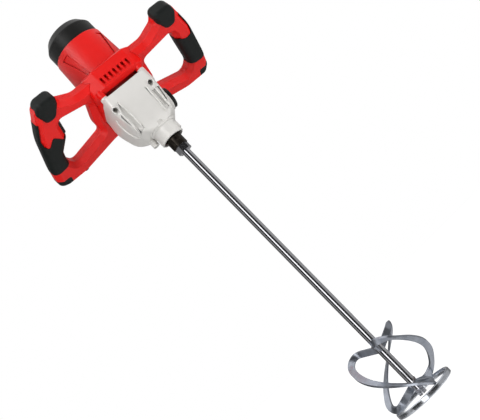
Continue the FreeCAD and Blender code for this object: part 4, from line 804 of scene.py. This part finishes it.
def lip_bead(head, mouth, radius):
    """Points of a raised lip: a tube along the rim of a screw way in the case's skin.

    The rim is read from the case: its corners on the way's cylinder, as a height over the turn.
    """
    head, mouth = np.array(head) * MM, np.array(mouth) * MM
    axis = (mouth - head) / np.linalg.norm(mouth - head)
    first = np.cross(axis, (1, 0, 0))
    first /= np.linalg.norm(first)
    second = np.cross(axis, first)
    mesh = frame["nodes"]["gear_case"].data
    corners = np.empty(len(mesh.vertices) * 3)
    mesh.vertices.foreach_get("co", corners)
    away = corners.reshape(-1, 3) - head
    along, run, rise = away @ axis, away @ first, away @ second
    on_way = np.abs(np.hypot(run, rise) - SCREW_WAY_R) < RIM_MISS
    rim = on_way & (along > RIM_REACH[0]) & (along < RIM_REACH[1])
    if not rim.any():
        raise RuntimeError("the case shows no rim for a screw way")
    turn = np.linspace(0, FULL_TURN, LIP_ROWS)
    seen = np.arctan2(rise, run)[rim]
    order = np.argsort(seen)
    height = np.interp(turn, seen[order], along[rim][order], period=FULL_TURN)[:, None]
    spoke = np.cos(turn)[:, None] * first + np.sin(turn)[:, None] * second
    line = head + height * axis + (SCREW_WAY_R + LIP_OUT * radius) * spoke
    ahead = np.roll(line[:-1], -1, axis=0) - np.roll(line[:-1], 1, axis=0)
    return tube(line, np.concatenate([ahead, ahead[:1]]), spoke, radius)


class MIXER_OT_casting(bpy.types.Operator):
    """Lacquers the gear case and the other castings"""

    bl_idname = "mixer.casting"
    bl_label = "Gear case"

    def execute(self, context):
        sizes = context.scene.mixer_sizes
        smoothed("gear_case")
        ribs = surface_mesh("case_ribs", [rib_bead(places, sizes.rib) for places in CASE_RIBS])
        place_piece(ribs, "case_ribs", "cast_aluminium", "machine")
        lips = surface_mesh("case_lips", [lip_bead(*way, sizes.lip) for way in SCREW_WAYS])
        place_piece(lips, "case_lips", "cast_aluminium", "machine")
        coat("bearing_plate", "bearing_bridge")
        return {"FINISHED"}


class MIXER_OT_shells(bpy.types.Operator):
    """Finishes the red housing and the hand loops"""

    bl_idname = "mixer.shells"
    bl_label = "Red shells"

    def execute(self, context):
        smoothed("motor_housing", "upper_loop_shell", "lower_loop_shell")
        return {"FINISHED"}


class MIXER_OT_black_parts(bpy.types.Operator):
    """Finishes the cap, the knob, the trigger, the lock button and the switch"""

    bl_idname = "mixer.black_parts"
    bl_label = "Black mouldings"

    def execute(self, context):
        smoothed("end_cap", "selector_knob", "trigger", "lock_button")
        coat("switch_body")
        return {"FINISHED"}


class MIXER_OT_rubber(bpy.types.Operator):
    """Finishes the grips, bumpers, pads and the cord's bush"""

    bl_idname = "mixer.rubber"
    bl_label = "Rubber parts"

    def execute(self, context):
        smoothed("right_grip", "left_grip", "right_bumper", "left_bumper")
        smoothed("right_foot_pad", "left_foot_pad", "cord_inlet")
        return {"FINISHED"}


class MIXER_OT_stirrer(bpy.types.Operator):
    """Finishes the spindle, the rod and the wound stirrer"""

    bl_idname = "mixer.stirrer"
    bl_label = "Spindle and stirrer"

    def execute(self, context):
        smoothed("spindle", "stirrer_shaft")
        smoothed("stirrer_ring", material_slot="zinc_ring")
        smoothed(*(f"stirrer_blade_{number + 1}" for number in range(BLADE_COUNT)))
        return {"FINISHED"}


class MIXER_OT_welds(bpy.types.Operator):
    """Lays the weld beads at the roots and feet of the stirrer's bars"""

    bl_idname = "mixer.welds"
    bl_label = "Welds"

    def execute(self, context):
        length = context.scene.mixer_sizes.weld
        beads = []
        for number in range(BLADE_COUNT):
            turn = BLADE_START + FULL_TURN * number / BLADE_COUNT
            beads.append(weld_bead(turn, BLADE_HUB + WELD_RISE, length))
            beads.append(weld_bead(turn + BLADE_TWIST, BLADE_FOOT + WELD_RISE, length))
        mesh = surface_mesh("weld_beads", beads)
        place_piece(mesh, "weld_beads", "zinc_steel", "output", "weld")
        return {"FINISHED"}


class MIXER_OT_shell_screws(bpy.types.Operator):
    """Forms the lobed screws of the loops and of the cap"""

    bl_idname = "mixer.shell_screws"
    bl_label = "Shell screws"

    def execute(self, context):
        head = screw_head()
        seat = LOOP_FACE - SCREW_SUNK - SCREW_HEIGHT
        plan = [(side * x * MM, t * MM, seat) for x, t in LOOP_SCREWS for side in (-1, 1)]
        loops = surface_mesh("loop_screw_heads", [tilted(head + spot) for spot in np.array(plan)])
        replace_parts(place_piece(loops, "loop_screw_heads", "hard_steel", "machine"), "loop_screws")
        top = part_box("cap_screws")[1][2] - SCREW_HEIGHT
        plan = [(x * MM, MOTOR_Y, top) for x in CAP_SCREWS]
        cap = surface_mesh("cap_screw_heads", [head + spot for spot in np.array(plan)])
        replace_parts(place_piece(cap, "cap_screw_heads", "hard_steel", "machine"), "cap_screws")
        return {"FINISHED"}


class MIXER_OT_insides(bpy.types.Operator):
    """Finishes the gears, bearings and motor parts inside"""

    bl_idname = "mixer.insides"
    bl_label = "Inside parts"

    def execute(self, context):
        kinds = ("hard_steel", *INSIDE_FINISHES)
        coat(*(name for name, slot in SLOT_OF.items() if slot in kinds))
        return {"FINISHED"}


# Studio


def photo_camera():
    """Camera at the photograph's angle: low, a little left, and rolled so the rod runs across."""
    cos_turn, sin_turn = math.cos(CAMERA_TURN), math.sin(CAMERA_TURN)
    cos_rise, sin_rise = math.cos(CAMERA_RISE), math.sin(CAMERA_RISE)
    cos_roll, sin_roll = math.cos(CAMERA_ROLL), math.sin(CAMERA_ROLL)
    distance = FOCUS_PX / PX_PER_MM * MM
    right = Vector((cos_turn, -sin_turn, 0))
    ahead = Vector((sin_turn * cos_rise, cos_turn * cos_rise, sin_rise))
    up = right.cross(ahead)
    aside = right * (ASIDE_PX / FOCUS_PX * distance)
    rolled = right * cos_roll - up * sin_roll
    raised = right * sin_roll + up * cos_roll
    matrix = Matrix((rolled, raised, -ahead)).transposed().to_4x4()
    matrix.translation = Vector((0, 0, CAMERA_AIM_Z)) - ahead * distance - aside
    camera = bpy.data.objects.new("photo_camera", bpy.data.cameras.new("photo_camera"))
    camera.data.lens = CAMERA_LENS
    camera.data.sensor_width = CAMERA_SENSOR
    camera.data.dof.use_dof = False
    camera.matrix_world = matrix
    bpy.context.scene.collection.objects.link(camera)
    bpy.context.scene.camera = camera


def soft_lamp(name, place, target, width, height, power, mirrored):
    """Soft box that faces a target; one that isn't mirrored lights matt surfaces only."""
    lamp = bpy.data.objects.new(name, bpy.data.lights.new(name, "AREA"))
    lamp.data.shape = "RECTANGLE"
    lamp.data.size = width
    lamp.data.size_y = height
    lamp.data.energy = power
    lamp.location = place
    lamp.visible_glossy = mirrored
    lamp.rotation_euler = (Vector(target) - Vector(place)).to_track_quat("-Z", "Y").to_euler()
    bpy.context.scene.collection.objects.link(lamp)


def pale_floor():
    """Flat floor below the part: corner + u first edge + v second edge."""
    u, v = np.meshgrid((0, 1), (0, 1), indexing="ij")
    low = np.array([-FLOOR_REACH, -FLOOR_REACH, CAD_BOX[0][2] - FLOOR_DROP])
    edges = 2 * FLOOR_REACH * np.eye(3)
    points = low + u[..., None] * edges[0] + v[..., None] * edges[1]
    mesh = bpy.data.meshes.new("floor")
    mesh.from_pydata(points.reshape(-1, 3), [], grid_faces(2, 2, False).tolist())
    obj = bpy.data.objects.new("floor", mesh)
    bpy.context.scene.collection.objects.link(obj)
    mesh.materials.append(floor_material())


def floor_material():
    """Pale matt paper that reads as white to the eye and keeps a soft shadow."""
    paper = linear(FLOOR_PAPER)
    sockets = {"Roughness": 0.9, "Emission Color": (1, 1, 1, 1)}
    material, tree, shader, place = surface("pale_paper", paper, sockets)
    seen = add(tree, "ShaderNodeLightPath").outputs["Is Camera Ray"]
    glow = add(tree, "ShaderNodeMapRange", {"Value": seen, "To Max": FLOOR_GLOW})
    tree.links.new(glow.outputs["Result"], shader.inputs["Emission Strength"])
    mottled(tree, shader, paper, amount=0.01, factor=grain(tree, place, size=40))
    return material


def pale_world():
    """White to the eye and in reflections, and a moderate even light elsewhere."""
    world = bpy.data.worlds.new("pale_world")
    world.use_nodes = True
    tree = world.node_tree
    tree.nodes.clear()
    path = add(tree, "ShaderNodeLightPath").outputs
    seen = path["Is Camera Ray"]
    for ray in ("Is Glossy Ray", "Is Transmission Ray"):
        either = {0: seen, 1: path[ray]}
        seen = add(tree, "ShaderNodeMath", either, operation="MAXIMUM").outputs[0]
    limits = {"Value": seen, "To Min": WORLD_LIGHT, "To Max": WORLD_WHITE}
    strength = add(tree, "ShaderNodeMapRange", limits).outputs["Result"]
    back = add(tree, "ShaderNodeBackground", {"Color": (1, 1, 1, 1), "Strength": strength})
    add(tree, "ShaderNodeOutputWorld", {"Surface": back.outputs["Background"]})
    bpy.context.scene.world = world


def card_material():
    """Black and grey cards and one bright strip: a brightness that changes with the angle."""
    sockets = {"Roughness": 1.0, "Emission Strength": STRIP_GLOW}
    material, tree, shader, place = surface("grey_cards", (0, 0, 0), sockets)
    axes = add(tree, "ShaderNodeSeparateXYZ", {"Vector": place}).outputs
    front = add(tree, "ShaderNodeMath", {0: axes["Y"], 1: -1.0}, operation="MULTIPLY").outputs[0]
    turn = add(tree, "ShaderNodeMath", {0: axes["X"], 1: front}, operation="ARCTAN2").outputs[0]
    limits = {"Value": turn, "From Min": -math.pi, "From Max": math.pi}
    share = add(tree, "ShaderNodeMapRange", limits).outputs["Result"]
    ramp = add(tree, "ShaderNodeValToRGB", {"Fac": share})
    stops = ramp.color_ramp.elements
    for degrees, shade in STUDIO_CARDS:
        stops.new((degrees + 180) / 360).color = (*[shade / STRIP_GLOW] * 3, 1)
    for old in (stops[-1], stops[0]):
        stops.remove(old)
    tree.links.new(ramp.outputs["Color"], shader.inputs["Emission Color"])
    return material


def studio_ring():
    """Ring of cards that only reflections see: a cylinder of angle a and height h."""
    turns = np.linspace(0, FULL_TURN, RING_COLUMNS)
    angle, height = np.meshgrid(turns, RING_HEIGHTS, indexing="ij")
    points = np.stack([RING_REACH * np.sin(angle), -RING_REACH * np.cos(angle), height], axis=-1)
    mesh = surface_mesh("studio_ring", points[None], wrap=False)
    ring = bpy.data.objects.new("studio_ring", mesh)
    bpy.context.scene.collection.objects.link(ring)
    mesh.materials.append(card_material())
    ring.visible_camera = False
    ring.visible_diffuse = False
    ring.visible_shadow = False
    ring.visible_transmission = False


class MIXER_OT_stage(bpy.types.Operator):
    """Sets the pale floor, the soft lamps, the cards and the camera"""

    bl_idname = "mixer.stage"
    bl_label = "Studio"

    def execute(self, context):
        pale_floor()
        for lamp in LAMPS:
            soft_lamp(*lamp)
        studio_ring()
        pale_world()
        photo_camera()
        context.scene.view_settings.view_transform = "Standard"
        return {"FINISHED"}


OPERATORS = (
    MIXER_OT_casting,
    MIXER_OT_shells,
    MIXER_OT_black_parts,
    MIXER_OT_rubber,
    MIXER_OT_stirrer,
    MIXER_OT_welds,
    MIXER_OT_shell_screws,
    MIXER_OT_insides,
    MIXER_OT_stage,
)


class MIXER_PT_panel(bpy.types.Panel):
    """Sidebar panel that lists the colours, the sizes and the steps"""

    bl_idname = "MIXER_PT_panel"
    bl_label = "Mixing drill"
    bl_space_type = "VIEW_3D"
    bl_region_type = "UI"
    bl_category = "Mixer"

    def draw(self, context):
        for group in (context.scene.mixer_colours, context.scene.mixer_sizes):
            for key in group.__annotations__:
                self.layout.prop(group, key)
        for operator in OPERATORS:
            self.layout.operator(operator.bl_idname)


CLASSES = (MixerColours, MixerSizes, *OPERATORS, MIXER_PT_panel)


def register():
    """Registers the classes and hangs the settings on the scene."""
    for cls in CLASSES:
        bpy.utils.register_class(cls)
    bpy.types.Scene.mixer_colours = bpy.props.PointerProperty(type=MixerColours)
    bpy.types.Scene.mixer_sizes = bpy.props.PointerProperty(type=MixerSizes)


def unregister():
    """Takes the settings off the scene and unregisters the classes."""
    del bpy.types.Scene.mixer_sizes
    del bpy.types.Scene.mixer_colours
    for cls in reversed(CLASSES):
        bpy.utils.unregister_class(cls)


def main():
    """Dresses the whole drill."""
    register()
    bpy.ops.mixer.casting()
    bpy.ops.mixer.shells()
    bpy.ops.mixer.black_parts()
    bpy.ops.mixer.rubber()
    bpy.ops.mixer.stirrer()
    bpy.ops.mixer.welds()
    bpy.ops.mixer.shell_screws()
    bpy.ops.mixer.insides()
    bpy.ops.mixer.stage()


if __name__ == "__main__":
    main()
